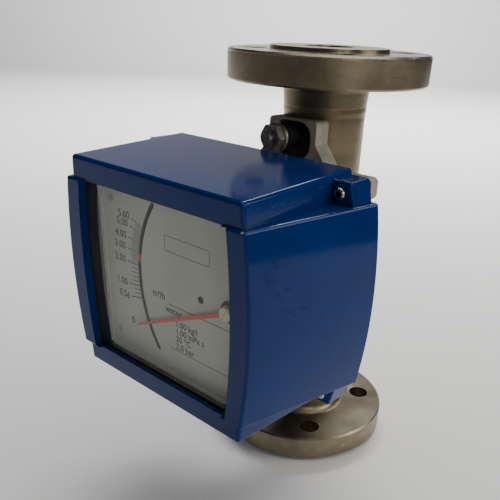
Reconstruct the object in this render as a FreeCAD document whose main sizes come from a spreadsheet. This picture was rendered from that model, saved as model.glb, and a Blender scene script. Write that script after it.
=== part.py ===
"""Variable-area flow meter with a dial indicator.

The tube stands on the Z axis with its lower sealing face at z = 0. The dial looks towards -Y.
Distances to the front are counted from the tube axis and grow towards the viewer.
"""
import FreeCAD, Part
import os
import re
import Sketcher

# Driving sizes in millimetres and degrees.
SIZES = [
    # flanges and tube ends
    ("face_to_face", 250),
    ("flange_diameter", 115),
    ("rim_thickness", 16),
    ("rim_chamfer", 1),
    ("raised_face_diameter", 68),
    ("raised_face_height", 2),
    ("bolt_circle", 85),
    ("bolt_hole_diameter", 14),
    ("bolt_count", 4),
    ("port_diameter", 28),
    ("hub_taper", 2.8),
    ("hub_length", 12.5),
    ("hub_fillet", 5),
    ("weld_bead_rise", 0.3),
    ("weld_bead_length", 5.2),
    # measuring section
    ("tube_wall", 5.5),
    ("cone_growth", 7.2),
    ("cone_drop", 27.4),
    ("cone_rise", 32.6),
    ("guide_seat_depth", 23.5),
    ("guide_seat_land", 1.5),
    ("guide_height", 6),
    ("guide_rim", 2),
    ("guide_hub_diameter", 10),
    ("guide_rib_thickness", 2),
    ("guide_ring_width", 2.5),
    ("end_clearance", 0.1),
    ("seat_clearance", 0.05),
    ("cut_overlap", 1),
    # float
    ("float_rest_drop", 15.4),
    ("float_travel", 36),
    ("float_diameter", 26),
    ("float_gap", 0.4),
    ("float_edge", 2),
    ("float_shank_diameter", 19),
    ("float_shoulder", 7),
    ("float_nose_length", 12),
    ("float_neck", 4),
    ("float_rod_diameter", 6),
    ("rod_clearance", 0.08),
    ("rod_overrun", 2),
    ("float_magnet_diameter", 12),
    ("float_magnet_length", 22),
    # indicator base
    ("housing_rise", 12.4),
    ("tab_thickness", 5.4),
    ("saddle_wrap", 5.8),
    ("saddle_clearance", 0.3),
    ("base_depth", 28.6),
    ("base_plate", 6),
    ("base_inset", 0.7),
    ("base_drop", 3.4),
    ("base_corner_radius", 4),
    ("base_edge_radius", 3.2),
    ("base_ear_height", 10.5),
    ("base_ear_corner", 2.5),
    ("base_ear_over", 1),
    ("spine_half_width", 25),
    ("spine_gap", 6.1),
    ("tab_half_width", 16.9),
    ("tab_over", 8.7),
    ("tab_shoulder_drop", 3.6),
    ("tab_corner_radius", 2.5),
    ("seat_depth", 2.5),
    ("seat_side_wall", 3.7),
    ("seat_end_wall", 1.1),
    ("seat_drop", 12.6),
    ("seat_corner_radius", 8),
    ("pocket_side_wall", 7),
    ("pocket_end_wall", 7.5),
    ("pocket_floor", 5.5),
    # fixing on the tube
    ("stud_gap", 3.6),
    ("stud_diameter", 8),
    ("stud_seat_depth", 2.5),
    ("stud_hole_clearance", 0.5),
    ("stud_end", 3.6),
    ("stud_chamfer", 0.7),
    ("buffer_diameter", 16.2),
    ("buffer_thickness", 15.4),
    ("buffer_taper", 1.8),
    ("buffer_chamfer", 1.2),
    ("washer_diameter", 16),
    ("washer_thickness", 1.6),
    ("nut_flats", 13),
    ("nut_height", 4.8),
    # front cover
    ("cover_depth", 74.9),
    ("cover_half_width", 60.9),
    ("cover_half_height", 60.1),
    ("cover_side_draft", 0.7),
    ("cover_end_draft", 3.4),
    ("cover_bow", 2.6),
    ("cover_edge_radius", 2),
    ("wall", 3.4),
    ("front_wall", 2.6),
    ("cavity_draft", 1),
    ("cheek_proud", 2),
    ("cheek_inset", 11.2),
    ("cheek_end_draft", 1.2),
    ("cheek_step_front", 2.9),
    ("cheek_step_rear", 16.7),
    ("cheek_bow_front", 4.1),
    ("cheek_bow_rear", 4.4),
    ("cheek_edge_radius", 1.4),
    ("cheek_pocket_depth", 50),
    ("frame_side", 7.5),
    ("frame_bar", 11.7),
    ("window_bow", 3),
    ("ear_width", 10.2),
    ("ear_flare", 3.5),
    ("ear_drop", 2.7),
    ("ear_depth", 15),
    ("ear_edge_radius", 1.2),
    ("cover_gasket_thickness", 1),
    ("cover_gasket_inset", 0.6),
    # cover screws
    ("screw_diameter", 3),
    ("screw_head_diameter", 6),
    ("screw_head_height", 2.2),
    ("screw_head_round", 1.2),
    ("screw_socket_flats", 2.5),
    ("screw_socket_depth", 1.3),
    ("screw_grip", 4.5),
    ("screw_clearance", 0.3),
    # window
    ("glass_side_gap", 0.3),
    ("glass_lap", 3.6),
    ("glass_thickness", 3),
    ("glass_corner_radius", 2),
    ("window_gasket_thickness", 1),
    ("window_gasket_lap", 0.3),
    ("strip_end_gap", 5),
    ("strip_edge_gap", 0.6),
    ("strip_thickness", 1.2),
    ("strip_lap", 2.2),
    ("boss_diameter", 4.2),
    ("boss_offset", 2.3),
    ("boss_inset", 7),
    ("strip_screw_diameter", 2),
    ("strip_screw_head_diameter", 3.8),
    ("strip_screw_head_height", 1.4),
    ("strip_screw_grip", 3),
    # dial
    ("dial_thickness", 1.2),
    ("dial_rim", 3),
    ("dial_rim_rise", 0.5),
    ("dial_side_gap", 1.1),
    ("dial_lap", 2.6),
    ("dial_corner_radius", 1.5),
    ("dial_hub_gap", 2),
    ("dial_small_hole", 4),
    ("dial_small_hole_reach", 20),
    ("slot_radius", 67.5),
    ("slot_width", 2.6),
    ("slot_half_angle", 36.5),
    ("post_inset_across", 10.9),
    ("post_inset_up", 12.5),
    ("post_diameter", 6),
    ("dial_screw_diameter", 2.5),
    ("dial_screw_head_diameter", 3.6),
    ("dial_screw_head_height", 0.8),
    ("dial_screw_grip", 4.5),
    # pointer system
    ("pointer_axis_inset", 13.4),
    ("pointer_axis_rise", 1.6),
    ("pointer_rest_angle", 23.5),
    ("pointer_overreach", 8),
    ("pointer_root_width", 2.4),
    ("pointer_tip_width", 1.2),
    ("pointer_tip_length", 5),
    ("pointer_thickness", 0.5),
    ("pointer_stand_off", 1.8),
    ("hub_flange_diameter", 8),
    ("hub_flange_thickness", 0.6),
    ("hub_barrel_diameter", 5),
    ("hub_cap_diameter", 7.2),
    ("pointer_eye_diameter", 6.8),
    ("hub_front_rise", 1.4),
    ("hub_rear_reach", 4.4),
    ("hub_slot_width", 1),
    ("hub_slot_depth", 0.8),
    ("hub_slot_angle", 62),
    ("hub_glass_gap", 1.4),
    ("shaft_diameter", 3),
    ("shaft_clearance", 0.05),
    ("shaft_tail", 2),
    ("bracket_half_width", 10),
    ("bracket_sheet", 2),
    ("bracket_stand", 12),
    ("bracket_gap", 11),
    ("bracket_drop", 13),
    ("bracket_rise", 12),
    ("bracket_foot", 14),
    ("bracket_screw_spread", 6),
    ("bracket_screw_diameter", 3),
    ("bracket_screw_head_diameter", 5.5),
    ("bracket_screw_head_height", 2),
    ("bearing_diameter", 8),
    ("bearing_collar_width", 1.5),
    ("bearing_collar", 1),
    ("bearing_nose", 5),
    ("arm_thickness", 1.5),
    ("arm_hub_diameter", 10),
    ("arm_width", 5),
    ("arm_eye_diameter", 7),
    ("magnet_post_diameter", 5),
    ("magnet_pin_diameter", 3),
    ("follower_magnet_diameter", 10),
    ("follower_magnet_length", 10),
    ("follower_magnet_gap", 4),
    ("counterweight_reach", 8.6),
    ("counterweight_diameter", 9),
    ("counterweight_thickness", 4),
    ("counterweight_gap", 1),
    # limit marker
    ("limit_angle", 7.7),
    ("limit_ring_width", 3),
    ("limit_ring_clearance", 0.08),
    ("limit_gap", 0.4),
    ("limit_arm_thickness", 1),
    ("limit_arm_width", 4),
    ("marker_side_gap", 0.5),
    ("marker_height", 3.6),
    ("marker_proud", 0.3),
]

doc = FreeCAD.newDocument("FlowMeter")
sheet = doc.addObject("Spreadsheet::Sheet", "sizes")
for row, (alias, number) in enumerate(SIZES, start=1):
    sheet.set(f"A{row}", alias.replace("_", " "))
    sheet.set(f"B{row}", str(number))
    sheet.setAlias(f"B{row}", alias)
doc.recompute()

ALIASES = {alias for alias, number in SIZES}
WORD = re.compile(r"[a-z_]+[a-z]")
UPRIGHT = FreeCAD.Rotation()
FACING = FreeCAD.Rotation(FreeCAD.Vector(1, 0, 0), 90)
INVERTED = FreeCAD.Rotation(FreeCAD.Vector(1, 0, 0), 180)
TOUCH = 0.01
nodes = {}

# Heights along the tube.
FLANGE_HEIGHT = "(raised_face_height + rim_thickness)"
TUBE_BOTTOM = f"({FLANGE_HEIGHT} + hub_length)"
TUBE_TOP = f"(face_to_face - {TUBE_BOTTOM})"
MID = "(face_to_face / 2 + housing_rise)"
FLOAT_REST = f"({MID} - float_rest_drop)"
POINTER_Z = f"({MID} + pointer_axis_rise)"

# Radii of the measuring section, from the float outwards.
THROAT = "(float_diameter / 2 + float_gap)"
CONE_TOP = f"({THROAT} + cone_growth / 2)"
LOWER_SEAT = "(port_diameter / 2 + guide_rim + guide_seat_land)"
UPPER_SEAT = f"({CONE_TOP} + guide_seat_land)"
TUBE_RADIUS = f"({UPPER_SEAT} + tube_wall)"
WELD_RADIUS = f"({TUBE_RADIUS} + weld_bead_rise)"

# Distances to the front, from the tube outwards.
SPINE_REAR = f"({TUBE_RADIUS} - saddle_wrap)"
SPINE_FRONT = f"({TUBE_RADIUS} + tab_thickness)"
POCKET_REAR = f"({TUBE_RADIUS} + pocket_floor)"
SEAT_FLOOR = f"({SPINE_FRONT} - seat_depth)"
BUFFER_FRONT = f"({SEAT_FLOOR} + buffer_thickness)"
WASHER_FRONT = f"({BUFFER_FRONT} + washer_thickness)"
NUT_FRONT = f"({WASHER_FRONT} + nut_height)"
BASE_FRONT = f"({SPINE_FRONT} + base_depth)"
BASE_REAR = f"({BASE_FRONT} - base_plate)"
COVER_REAR = f"({BASE_FRONT} + cover_gasket_thickness)"
COVER_FRONT = f"({COVER_REAR} + cover_depth)"
CHEEK_FRONT = f"({COVER_FRONT} + cheek_proud)"
CAVITY_FRONT = f"({COVER_FRONT} - front_wall)"
EAR_FRONT = f"({COVER_REAR} + ear_depth)"
GLASS_FRONT = f"({CAVITY_FRONT} - window_gasket_thickness)"
GLASS_REAR = f"({GLASS_FRONT} - glass_thickness)"
POINTER_FRONT = f"({GLASS_REAR} - hub_glass_gap - hub_front_rise)"
POINTER_REAR = f"({POINTER_FRONT} - pointer_thickness)"
DIAL_FRONT = f"({POINTER_REAR} - pointer_stand_off)"
DIAL_REAR = f"({DIAL_FRONT} - dial_thickness)"
BRACKET_FRONT = f"({DIAL_REAR} - bracket_gap)"
BRACKET_REAR = f"({BASE_FRONT} + bracket_stand)"
ARM_REAR = f"({BASE_FRONT} + counterweight_gap + counterweight_thickness)"
ARM_FRONT = f"({ARM_REAR} + arm_thickness)"

# Half widths across the housing and half heights from its middle.
REAR_WIDTH = "(cover_half_width + cover_side_draft)"
REAR_HEIGHT = "(cover_half_height + cover_end_draft)"
CAVITY_WIDTH = "(cover_half_width - wall)"
CAVITY_HEIGHT = "(cover_half_height - wall)"
CAVITY_HEIGHT_REAR = f"({CAVITY_HEIGHT} + cavity_draft)"
BASE_WIDTH = f"({REAR_WIDTH} - base_inset)"
BASE_HEIGHT = f"({REAR_HEIGHT} - base_drop)"
CHEEK_HEIGHT = "(cover_half_height - cheek_inset)"
CHEEK_HEIGHT_REAR = f"({CHEEK_HEIGHT} + cheek_end_draft)"
CHEEK_WIDTH_FRONT = "(cover_half_width + cheek_step_front)"
CHEEK_WIDTH_REAR = f"({REAR_WIDTH} + cheek_step_rear)"
CHEEK_SLOPE = f"(({CHEEK_WIDTH_REAR} - {CHEEK_WIDTH_FRONT}) / (cover_depth + cheek_proud))"
WINDOW_WIDTH = "(cover_half_width - frame_side)"
WINDOW_HEIGHT = "(cover_half_height - frame_bar)"
EAR_REACH = f"({REAR_WIDTH} + ear_width)"
EAR_HEIGHT = f"({REAR_HEIGHT} - ear_drop)"
EAR_SCREW_X = f"({REAR_WIDTH} + ear_width / 2)"
EAR_SCREW_Z = f"(({CHEEK_HEIGHT} + {EAR_HEIGHT}) / 2)"
GLASS_WIDTH = f"({CAVITY_WIDTH} - glass_side_gap)"
GLASS_HEIGHT = f"({WINDOW_HEIGHT} + glass_lap)"
STRIP_WIDTH = f"({GLASS_WIDTH} - strip_end_gap)"
BOSS_X = f"({STRIP_WIDTH} - boss_inset)"
BOSS_Z = f"({GLASS_HEIGHT} + boss_offset)"
DIAL_WIDTH = f"({CAVITY_WIDTH} - dial_side_gap)"
DIAL_HEIGHT = f"({WINDOW_HEIGHT} + dial_lap)"
POST_X = f"({DIAL_WIDTH} - post_inset_across)"
POST_Z = f"({DIAL_HEIGHT} - post_inset_up)"
POINTER_X = f"({DIAL_WIDTH} - pointer_axis_inset)"
STUD_Z = f"({BASE_HEIGHT} + stud_diameter / 2 + stud_gap)"
SPINE_HEIGHT = f"({STUD_Z} - buffer_diameter / 2 - spine_gap)"
TAB_SHOULDER = f"({STUD_Z} - tab_shoulder_drop)"
TAB_HEIGHT = f"({STUD_Z} + tab_over)"


def formula(text):
    """Point each size name in an expression at the sheet."""
    return WORD.sub(lambda word: "sizes." + word.group() if word.group() in ALIASES else word.group(), text)


def value(text):
    return float(sheet.evalExpression(text))


def bind(thing, prop, text):
    thing.setExpression(prop, formula(text))


def put(thing, x, y, z, rotation=UPRIGHT):
    thing.Placement = FreeCAD.Placement(FreeCAD.Vector(value(x), value(y), value(z)), rotation)
    bind(thing, "Placement.Base.x", x)
    bind(thing, "Placement.Base.y", y)
    bind(thing, "Placement.Base.z", z)
    return thing


def node(label, thing):
    """Keep a finished piece under the name of its file."""
    thing.Label = label
    nodes[label] = thing
    return thing


def block(name, x, front, z):
    """A box between pairs of places across, to the front and up."""
    made = doc.addObject("Part::Box", name)
    bind(made, "Length", f"({x[1]}) - ({x[0]})")
    bind(made, "Width", f"({front[1]}) - ({front[0]})")
    bind(made, "Height", f"({z[1]}) - ({z[0]})")
    return put(made, x[0], f"-({front[1]})", z[0])


def upright(name, diameter, z, x="0", y="0"):
    """A cylinder along Z."""
    made = doc.addObject("Part::Cylinder", name)
    bind(made, "Radius", f"({diameter}) / 2")
    bind(made, "Height", f"({z[1]}) - ({z[0]})")
    return put(made, x, y, z[0])


def facing(name, diameter, front, x, z):
    """A cylinder along Y, between two distances to the front."""
    made = doc.addObject("Part::Cylinder", name)
    bind(made, "Radius", f"({diameter}) / 2")
    bind(made, "Height", f"({front[1]}) - ({front[0]})")
    return put(made, x, f"-({front[0]})", z, FACING)


def hexagon(name, flats, front, x, z):
    """A six-sided bar along Y."""
    made = doc.addObject("Part::Prism", name)
    made.Polygon = 6
    bind(made, "Circumradius", f"({flats}) / 2 / cos(30 deg)")
    bind(made, "Height", f"({front[1]}) - ({front[0]})")
    return put(made, x, f"-({front[0]})", z, FACING)


def past(front):
    """Stretch a span beyond both ends, for a cut right through."""
    return f"{front[0]} - cut_overlap", f"{front[1]} + cut_overlap"


def fuse(name, pieces):
    if len(pieces) == 1:
        return pieces[0]
    made = doc.addObject("Part::MultiFuse", name)
    made.Shapes = pieces
    return made


def cut(name, base, tools):
    made = doc.addObject("Part::Cut", name)
    made.Base = base
    made.Tool = fuse(name + "_tools", tools)
    return made


def group(label, pieces):
    """Identical loose pieces that share a file."""
    made = doc.addObject("Part::Compound", label)
    made.Links = pieces
    return node(label, made)


def draw(body, name, corners, lift="0"):
    """A closed outline, counter-clockwise. A third entry bows the upright side that starts there outwards."""
    sketch = body.newObject("Sketcher::SketchObject", name)
    plane = [plane for plane in body.Origin.OriginFeatures if plane.Role == "XZ_Plane"][0]
    sketch.AttachmentSupport = (plane, [""])
    sketch.MapMode = "FlatFace"
    bind(sketch, "AttachmentOffset.Base.z", lift)
    points = [FreeCAD.Vector(value(corner[0]), value(corner[1]), 0) for corner in corners]
    following = list(range(1, len(corners))) + [0]
    for here, there in enumerate(following):
        side = Part.LineSegment(points[here], points[there])
        if len(corners[here]) == 3:
            chord = points[there] - points[here]
            outward = FreeCAD.Vector(chord.y, -chord.x, 0).normalize()
            crown = (points[here] + points[there]) / 2 + outward * value(corners[here][2])
            side = Part.Arc(points[here], crown, points[there])
        sketch.addGeometry(side)
    for here, there in enumerate(following):
        sketch.addConstraint(Sketcher.Constraint("Coincident", here, 2, there, 1))
    for here, there in enumerate(following):
        for kind, place, at in (("DistanceX", 0, points[here].x), ("DistanceY", 1, points[here].y)):
            index = sketch.addConstraint(Sketcher.Constraint(kind, -1, 1, here, 1, at))
            bind(sketch, f"Constraints[{index}]", corners[here][place])
        if len(corners[here]) == 3:
            bow = corners[here][2]
            radius = f"(({corners[there][1]}) - ({corners[here][1]}))^2 / 8 / ({bow}) + ({bow}) / 2"
            index = sketch.addConstraint(Sketcher.Constraint("Radius", here, value(radius)))
            bind(sketch, f"Constraints[{index}]", radius)
    return sketch


def turn(name, outline, x="0", y="0", z="0", rotation=UPRIGHT):
    """A turned piece: the outline is radius and height."""
    body = doc.addObject("PartDesign::Body", name)
    sketch = draw(body, name + "_profile", outline)
    made = body.newObject("PartDesign::Revolution", name + "_turned")
    made.Profile = sketch
    made.ReferenceAxis = (sketch, ["V_Axis"])
    made.Angle = 360
    return put(body, x, y, z, rotation)


def extrude(name, outline, front):
    """An outline across and up, between two distances to the front."""
    body = doc.addObject("PartDesign::Body", name)
    sketch = draw(body, name + "_outline", outline, front[0])
    made = body.newObject("PartDesign::Pad", name + "_pad")
    made.Profile = sketch
    bind(made, "Length", f"({front[1]}) - ({front[0]})")
    return body


def loft(name, rear_outline, front_outline, front):
    """Straight sides between an outline at the rear and one at the front."""
    body = doc.addObject("PartDesign::Body", name)
    rear_sketch = draw(body, name + "_rear", rear_outline, front[0])
    front_sketch = draw(body, name + "_front", front_outline, front[1])
    made = body.newObject("PartDesign::AdditiveLoft", name + "_loft")
    made.Profile = rear_sketch
    made.Sections = [front_sketch]
    made.Ruled = True
    return body


def round_edges(body, name, radius, wanted):
    """Fillet the edges of a body's last feature that pass a test."""
    doc.recompute()
    base = body.Tip
    chosen = [f"Edge{index}" for index, edge in enumerate(base.Shape.Edges, start=1) if wanted(edge)]
    made = body.newObject("PartDesign::Fillet", name)
    made.Base = (base, chosen)
    bind(made, "Radius", radius)
    body.Tip = made
    return body


def mirror(name, source):
    """The same piece on the other side of the middle plane."""
    made = doc.addObject("Part::Mirroring", name)
    made.Source = source
    made.Normal = FreeCAD.Vector(1, 0, 0)
    return made


def rectangle(half_width, half_height):
    low = f"{MID} - {half_height}"
    high = f"{MID} + {half_height}"
    left = f"-({half_width})"
    return [(left, low), (half_width, low), (half_width, high), (left, high)]


def at_depth(edge, front):
    """True for an edge that lies wholly at one distance to the front."""
    return all(abs(vertex.Y + value(front)) < TOUCH for vertex in edge.Vertexes)


def runs_front_to_back(edge):
    """True for an edge whose ends lie at different depths."""
    return abs(edge.Vertexes[0].Y - edge.Vertexes[-1].Y) > TOUCH


def four_places(x, z):
    """The places at plus and minus x, above and below the middle of the housing."""
    return [(f"{side}({x})", f"{MID} {end} {z}") for side in ("", "-") for end in ("+", "-")]


def span(*places):
    """Two places, the lower one first."""
    return sorted(places, key=value)


def polar(reach, angle):
    """A place at a reach from the pointer axis, turned up from the level that points left."""
    across = f"{POINTER_X} - ({reach}) * cos(({angle}) * 1 deg)"
    up = f"{POINTER_Z} + ({reach}) * sin(({angle}) * 1 deg)"
    return across, up


def swing(thing, angle):
    """Carry a piece drawn level, pointing left, to the pointer axis and turn it up there."""
    axis = FreeCAD.Vector(0, 1, 0)
    thing.Placement = FreeCAD.Placement(FreeCAD.Vector(), FreeCAD.Rotation(axis, value(angle)))
    bind(thing, "Placement.Rotation.Angle", f"({angle}) * 1 deg")
    bind(thing, "Placement.Base.x", POINTER_X)
    bind(thing, "Placement.Base.z", POINTER_Z)
    return thing


def level_bar(name, left, right, width, front):
    """A flat bar along the pointer's level, drawn about the pointer axis."""
    low = f"-{width} / 2"
    high = f"{width} / 2"
    return extrude(name, [(left, low), (right, low), (right, high), (left, high)], front)


def flange(label, z, rotation):
    """A flange with its sealing face at local zero and its hub growing upwards."""
    rim_radius = "flange_diameter / 2"
    hub_radius = f"{TUBE_RADIUS} + hub_taper / 2"
    body = turn(label + "_body", [
        ("port_diameter / 2", "0"),
        ("raised_face_diameter / 2", "0"),
        ("raised_face_diameter / 2", "raised_face_height"),
        (f"{rim_radius} - rim_chamfer", "raised_face_height"),
        (rim_radius, "raised_face_height + rim_chamfer"),
        (rim_radius, f"{FLANGE_HEIGHT} - rim_chamfer"),
        (f"{rim_radius} - rim_chamfer", FLANGE_HEIGHT),
        (hub_radius, FLANGE_HEIGHT),
        (WELD_RADIUS, TUBE_BOTTOM),
        ("port_diameter / 2", TUBE_BOTTOM),
    ])

    def inner_corner(edge):
        level = all(abs(vertex.Z - value(FLANGE_HEIGHT)) < TOUCH for vertex in edge.Vertexes)
        return level and abs(edge.BoundBox.XMax - value(hub_radius)) < TOUCH

    round_edges(body, label + "_hub_fillet", "hub_fillet", inner_corner)
    holes = []
    for index in range(int(value("bolt_count"))):
        angle = f"({index} + 0.5) * 360 deg / bolt_count"
        x = f"bolt_circle / 2 * cos({angle})"
        y = f"bolt_circle / 2 * sin({angle})"
        holes.append(upright(label + "_hole", "bolt_hole_diameter", past(("0", FLANGE_HEIGHT)), x, y))
    node(label, put(cut(label + "_drilled", body, holes), "0", "0", z, rotation))


def measuring_tube():
    """Tube with a conical bore, a seat for a guide at each end, low welds and two stud seats."""
    body = turn("tube_body", [
        (LOWER_SEAT, TUBE_BOTTOM),
        (WELD_RADIUS, TUBE_BOTTOM),
        (WELD_RADIUS, f"{TUBE_BOTTOM} + weld_bead_length / 2"),
        (TUBE_RADIUS, f"{TUBE_BOTTOM} + weld_bead_length"),
        (TUBE_RADIUS, f"{TUBE_TOP} - weld_bead_length"),
        (WELD_RADIUS, f"{TUBE_TOP} - weld_bead_length / 2"),
        (WELD_RADIUS, TUBE_TOP),
        (UPPER_SEAT, TUBE_TOP),
        (UPPER_SEAT, f"{TUBE_TOP} - guide_seat_depth"),
        (CONE_TOP, f"{TUBE_TOP} - guide_seat_depth"),
        (CONE_TOP, f"{MID} + cone_rise"),
        (THROAT, f"{MID} - cone_drop"),
        (THROAT, f"{TUBE_BOTTOM} + guide_seat_depth"),
        (LOWER_SEAT, f"{TUBE_BOTTOM} + guide_seat_depth"),
    ])
    seats = []
    for end in ("+", "-"):
        reach = (f"{TUBE_RADIUS} - stud_seat_depth", f"{TUBE_RADIUS} + cut_overlap")
        diameter = "stud_diameter + 2 * seat_clearance"
        seats.append(facing("stud_seat", diameter, reach, "0", f"{MID} {end} {STUD_Z}"))
    node("measuring_tube", cut("tube_drilled", body, seats))


def guide(prefix, seat, height, ring_height):
    """A three-ribbed spider round the float's rod, and the sleeve between it and the flange."""
    outer = f"({seat} - seat_clearance)"
    rim = turn(prefix + "_guide_rim", [
        (f"{outer} - guide_rim", height[0]),
        (outer, height[0]),
        (outer, height[1]),
        (f"{outer} - guide_rim", height[1]),
    ])
    pieces = [rim, upright(prefix + "_guide_hub", "guide_hub_diameter", height)]
    for angle in (90, 210, 330):
        rib = doc.addObject("Part::Box", prefix + "_guide_rib")
        bind(rib, "Length", f"{outer} - guide_rim / 2")
        bind(rib, "Width", "guide_rib_thickness")
        bind(rib, "Height", "guide_height")
        side_x = f"guide_rib_thickness / 2 * sin({angle} deg)"
        side_y = f"-guide_rib_thickness / 2 * cos({angle} deg)"
        pieces.append(put(rib, side_x, side_y, height[0], FreeCAD.Rotation(FreeCAD.Vector(0, 0, 1), angle)))
    bore = upright(prefix + "_guide_bore", "float_rod_diameter + 2 * rod_clearance", past(height))
    node(prefix + "_guide", cut(prefix + "_guide_bored", fuse(prefix + "_guide_spider", pieces), [bore]))
    node(prefix + "_guide_ring", turn(prefix + "_guide_sleeve", [
        (f"{outer} - guide_ring_width", ring_height[0]),
        (outer, ring_height[0]),
        (outer, ring_height[1]),
        (f"{outer} - guide_ring_width", ring_height[1]),
    ]))


def guides():
    lower_top = f"({TUBE_BOTTOM} + guide_seat_depth)"
    lower_bottom = f"({lower_top} - guide_height)"
    guide("lower", LOWER_SEAT, (lower_bottom, lower_top), (f"{TUBE_BOTTOM} + end_clearance", lower_bottom))
    upper_bottom = f"({TUBE_TOP} - guide_seat_depth)"
    upper_top = f"({upper_bottom} + guide_height)"
    guide("upper", UPPER_SEAT, (upper_bottom, upper_top), (upper_top, f"{TUBE_TOP} - end_clearance"))


def float_pieces():
    """Float with its measuring edge at the bottom, the magnet in its shank and the rod screwed in above."""
    rod = "float_rod_diameter / 2"
    edge = "float_diameter / 2"
    shank = "float_shank_diameter / 2"
    magnet_bottom = f"({FLOAT_REST} - float_magnet_length / 2)"
    magnet_top = f"({FLOAT_REST} + float_magnet_length / 2)"
    shank_top = f"({magnet_top} + float_neck)"
    rod_bottom = f"({TUBE_BOTTOM} + guide_seat_depth - guide_height - float_travel - rod_overrun)"
    rod_top = f"({TUBE_TOP} - guide_seat_depth + guide_height + rod_overrun)"
    bore = "(float_magnet_diameter / 2 + seat_clearance)"
    node("float_body", turn("float_turned", [
        ("0", rod_bottom),
        (rod, rod_bottom),
        (rod, f"{magnet_bottom} - float_nose_length"),
        (edge, magnet_bottom),
        (edge, f"{magnet_bottom} + float_edge"),
        (shank, f"{magnet_bottom} + float_edge + float_shoulder"),
        (shank, shank_top),
        (bore, shank_top),
        (bore, magnet_bottom),
        ("0", magnet_bottom),
    ]))
    node("float_magnet", upright("float_magnet_bar", "float_magnet_diameter", (magnet_bottom, magnet_top)))
    plug = f"({bore} - seat_clearance)"
    node("float_rod", turn("float_rod_turned", [
        ("0", magnet_top),
        (plug, magnet_top),
        (plug, shank_top),
        (shank, shank_top),
        (rod, f"{shank_top} + float_neck"),
        (rod, rod_top),
        ("0", rod_top),
    ]))


def base_ear(name, end):
    """An ear of the base on the right, behind an ear of the cover."""
    x = (f"{BASE_WIDTH} - base_corner_radius", f"{EAR_REACH} + base_ear_over")
    z = span(f"{MID} {end} ({BASE_HEIGHT} - base_ear_height)", f"{MID} {end} {BASE_HEIGHT}")
    ear = extrude(name, [(x[0], z[0]), (x[1], z[0]), (x[1], z[1]), (x[0], z[1])], (BASE_REAR, BASE_FRONT))

    def outer_corner(edge):
        return runs_front_to_back(edge) and edge.CenterOfMass.x > value(BASE_WIDTH)

    return round_edges(ear, name + "_corners", "base_ear_corner", outer_corner)


def buffer_seat(end):
    """The shallow hollow in a tab's front face that takes a rubber buffer."""
    side = "(tab_half_width - seat_side_wall)"
    z = span(f"{MID} {end} ({STUD_Z} - seat_drop)", f"{MID} {end} ({TAB_HEIGHT} - seat_end_wall)")
    corners = [(f"-{side}", z[0]), (side, z[0]), (side, z[1]), (f"-{side}", z[1])]
    seat = extrude("buffer_seat", corners, (SEAT_FLOOR, f"{SPINE_FRONT} + cut_overlap"))
    return round_edges(seat, "buffer_seat_corners", "seat_corner_radius", runs_front_to_back)


def indicator_base():
    """Cast back: plate, four ears, a hollow spine along the tube, and a tab above and below."""
    plate = extrude("base_plate_cast", rectangle(BASE_WIDTH, BASE_HEIGHT), (BASE_REAR, BASE_FRONT))
    round_edges(plate, "base_plate_corners", "base_corner_radius", runs_front_to_back)
    round_edges(plate, "base_plate_rear", "base_edge_radius", lambda edge: at_depth(edge, BASE_REAR))
    pieces = [plate]
    for name, end in (("upper_base_ear", "+"), ("lower_base_ear", "-")):
        ear = base_ear(name, end)
        pieces += [ear, mirror(name + "_left", ear)]
    tab = "tab_half_width"
    half = [(tab, TAB_HEIGHT), (tab, TAB_SHOULDER), ("spine_half_width", SPINE_HEIGHT)]
    outline = [(x, f"{MID} + {z}") for x, z in reversed(half)]
    outline += [(f"-{x}", f"{MID} + {z}") for x, z in half]
    outline += [(f"-{x}", f"{MID} - {z}") for x, z in reversed(half)]
    outline += [(x, f"{MID} - {z}") for x, z in half]
    spine = extrude("spine_plate", outline, (SPINE_REAR, SPINE_FRONT))

    def tab_corner(edge):
        height = abs(edge.CenterOfMass.z - value(MID))
        return runs_front_to_back(edge) and height > value(TAB_HEIGHT) - TOUCH

    round_edges(spine, "tab_corners", "tab_corner_radius", tab_corner)
    spine_z = (f"{MID} - {SPINE_HEIGHT}", f"{MID} + {SPINE_HEIGHT}")
    spine_x = ("-spine_half_width", "spine_half_width")
    spine_box = block("spine_box", spine_x, (SPINE_FRONT, BASE_REAR), spine_z)
    pieces += [spine, spine_box]
    saddle_radius = f"({WELD_RADIUS} + saddle_clearance)"
    saddle = upright("saddle", f"2 * {saddle_radius}", ("0", "face_to_face"))
    pocket_x = ("-(spine_half_width - pocket_side_wall)", "spine_half_width - pocket_side_wall")
    pocket_z = (f"{spine_z[0]} + pocket_end_wall", f"{spine_z[1]} - pocket_end_wall")
    pocket_span = (POCKET_REAR, f"{BASE_FRONT} + cut_overlap")
    tools = [saddle, block("magnet_pocket", pocket_x, pocket_span, pocket_z)]
    for end in ("+", "-"):
        hole = "stud_diameter + 2 * stud_hole_clearance"
        tools.append(facing("tab_hole", hole, past((SPINE_REAR, SPINE_FRONT)), "0", f"{MID} {end} {STUD_Z}"))
        tools.append(buffer_seat(end))
    threads = [("screw_diameter", "screw_grip", x, z) for x, z in four_places(EAR_SCREW_X, EAR_SCREW_Z)]
    threads += [("dial_screw_diameter", "dial_screw_grip", x, z) for x, z in four_places(POST_X, POST_Z)]
    threads += [("bracket_screw_diameter", "screw_grip", x, z) for x, z in bracket_screw_places()]
    for diameter, grip, x, z in threads:
        reach = (f"{BASE_FRONT} - {grip}", f"{BASE_FRONT} + cut_overlap")
        tools.append(facing("base_thread", f"{diameter} + 2 * seat_clearance", reach, x, z))
    node("indicator_base", cut("base_machined", fuse("base_cast", pieces), tools))


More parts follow.
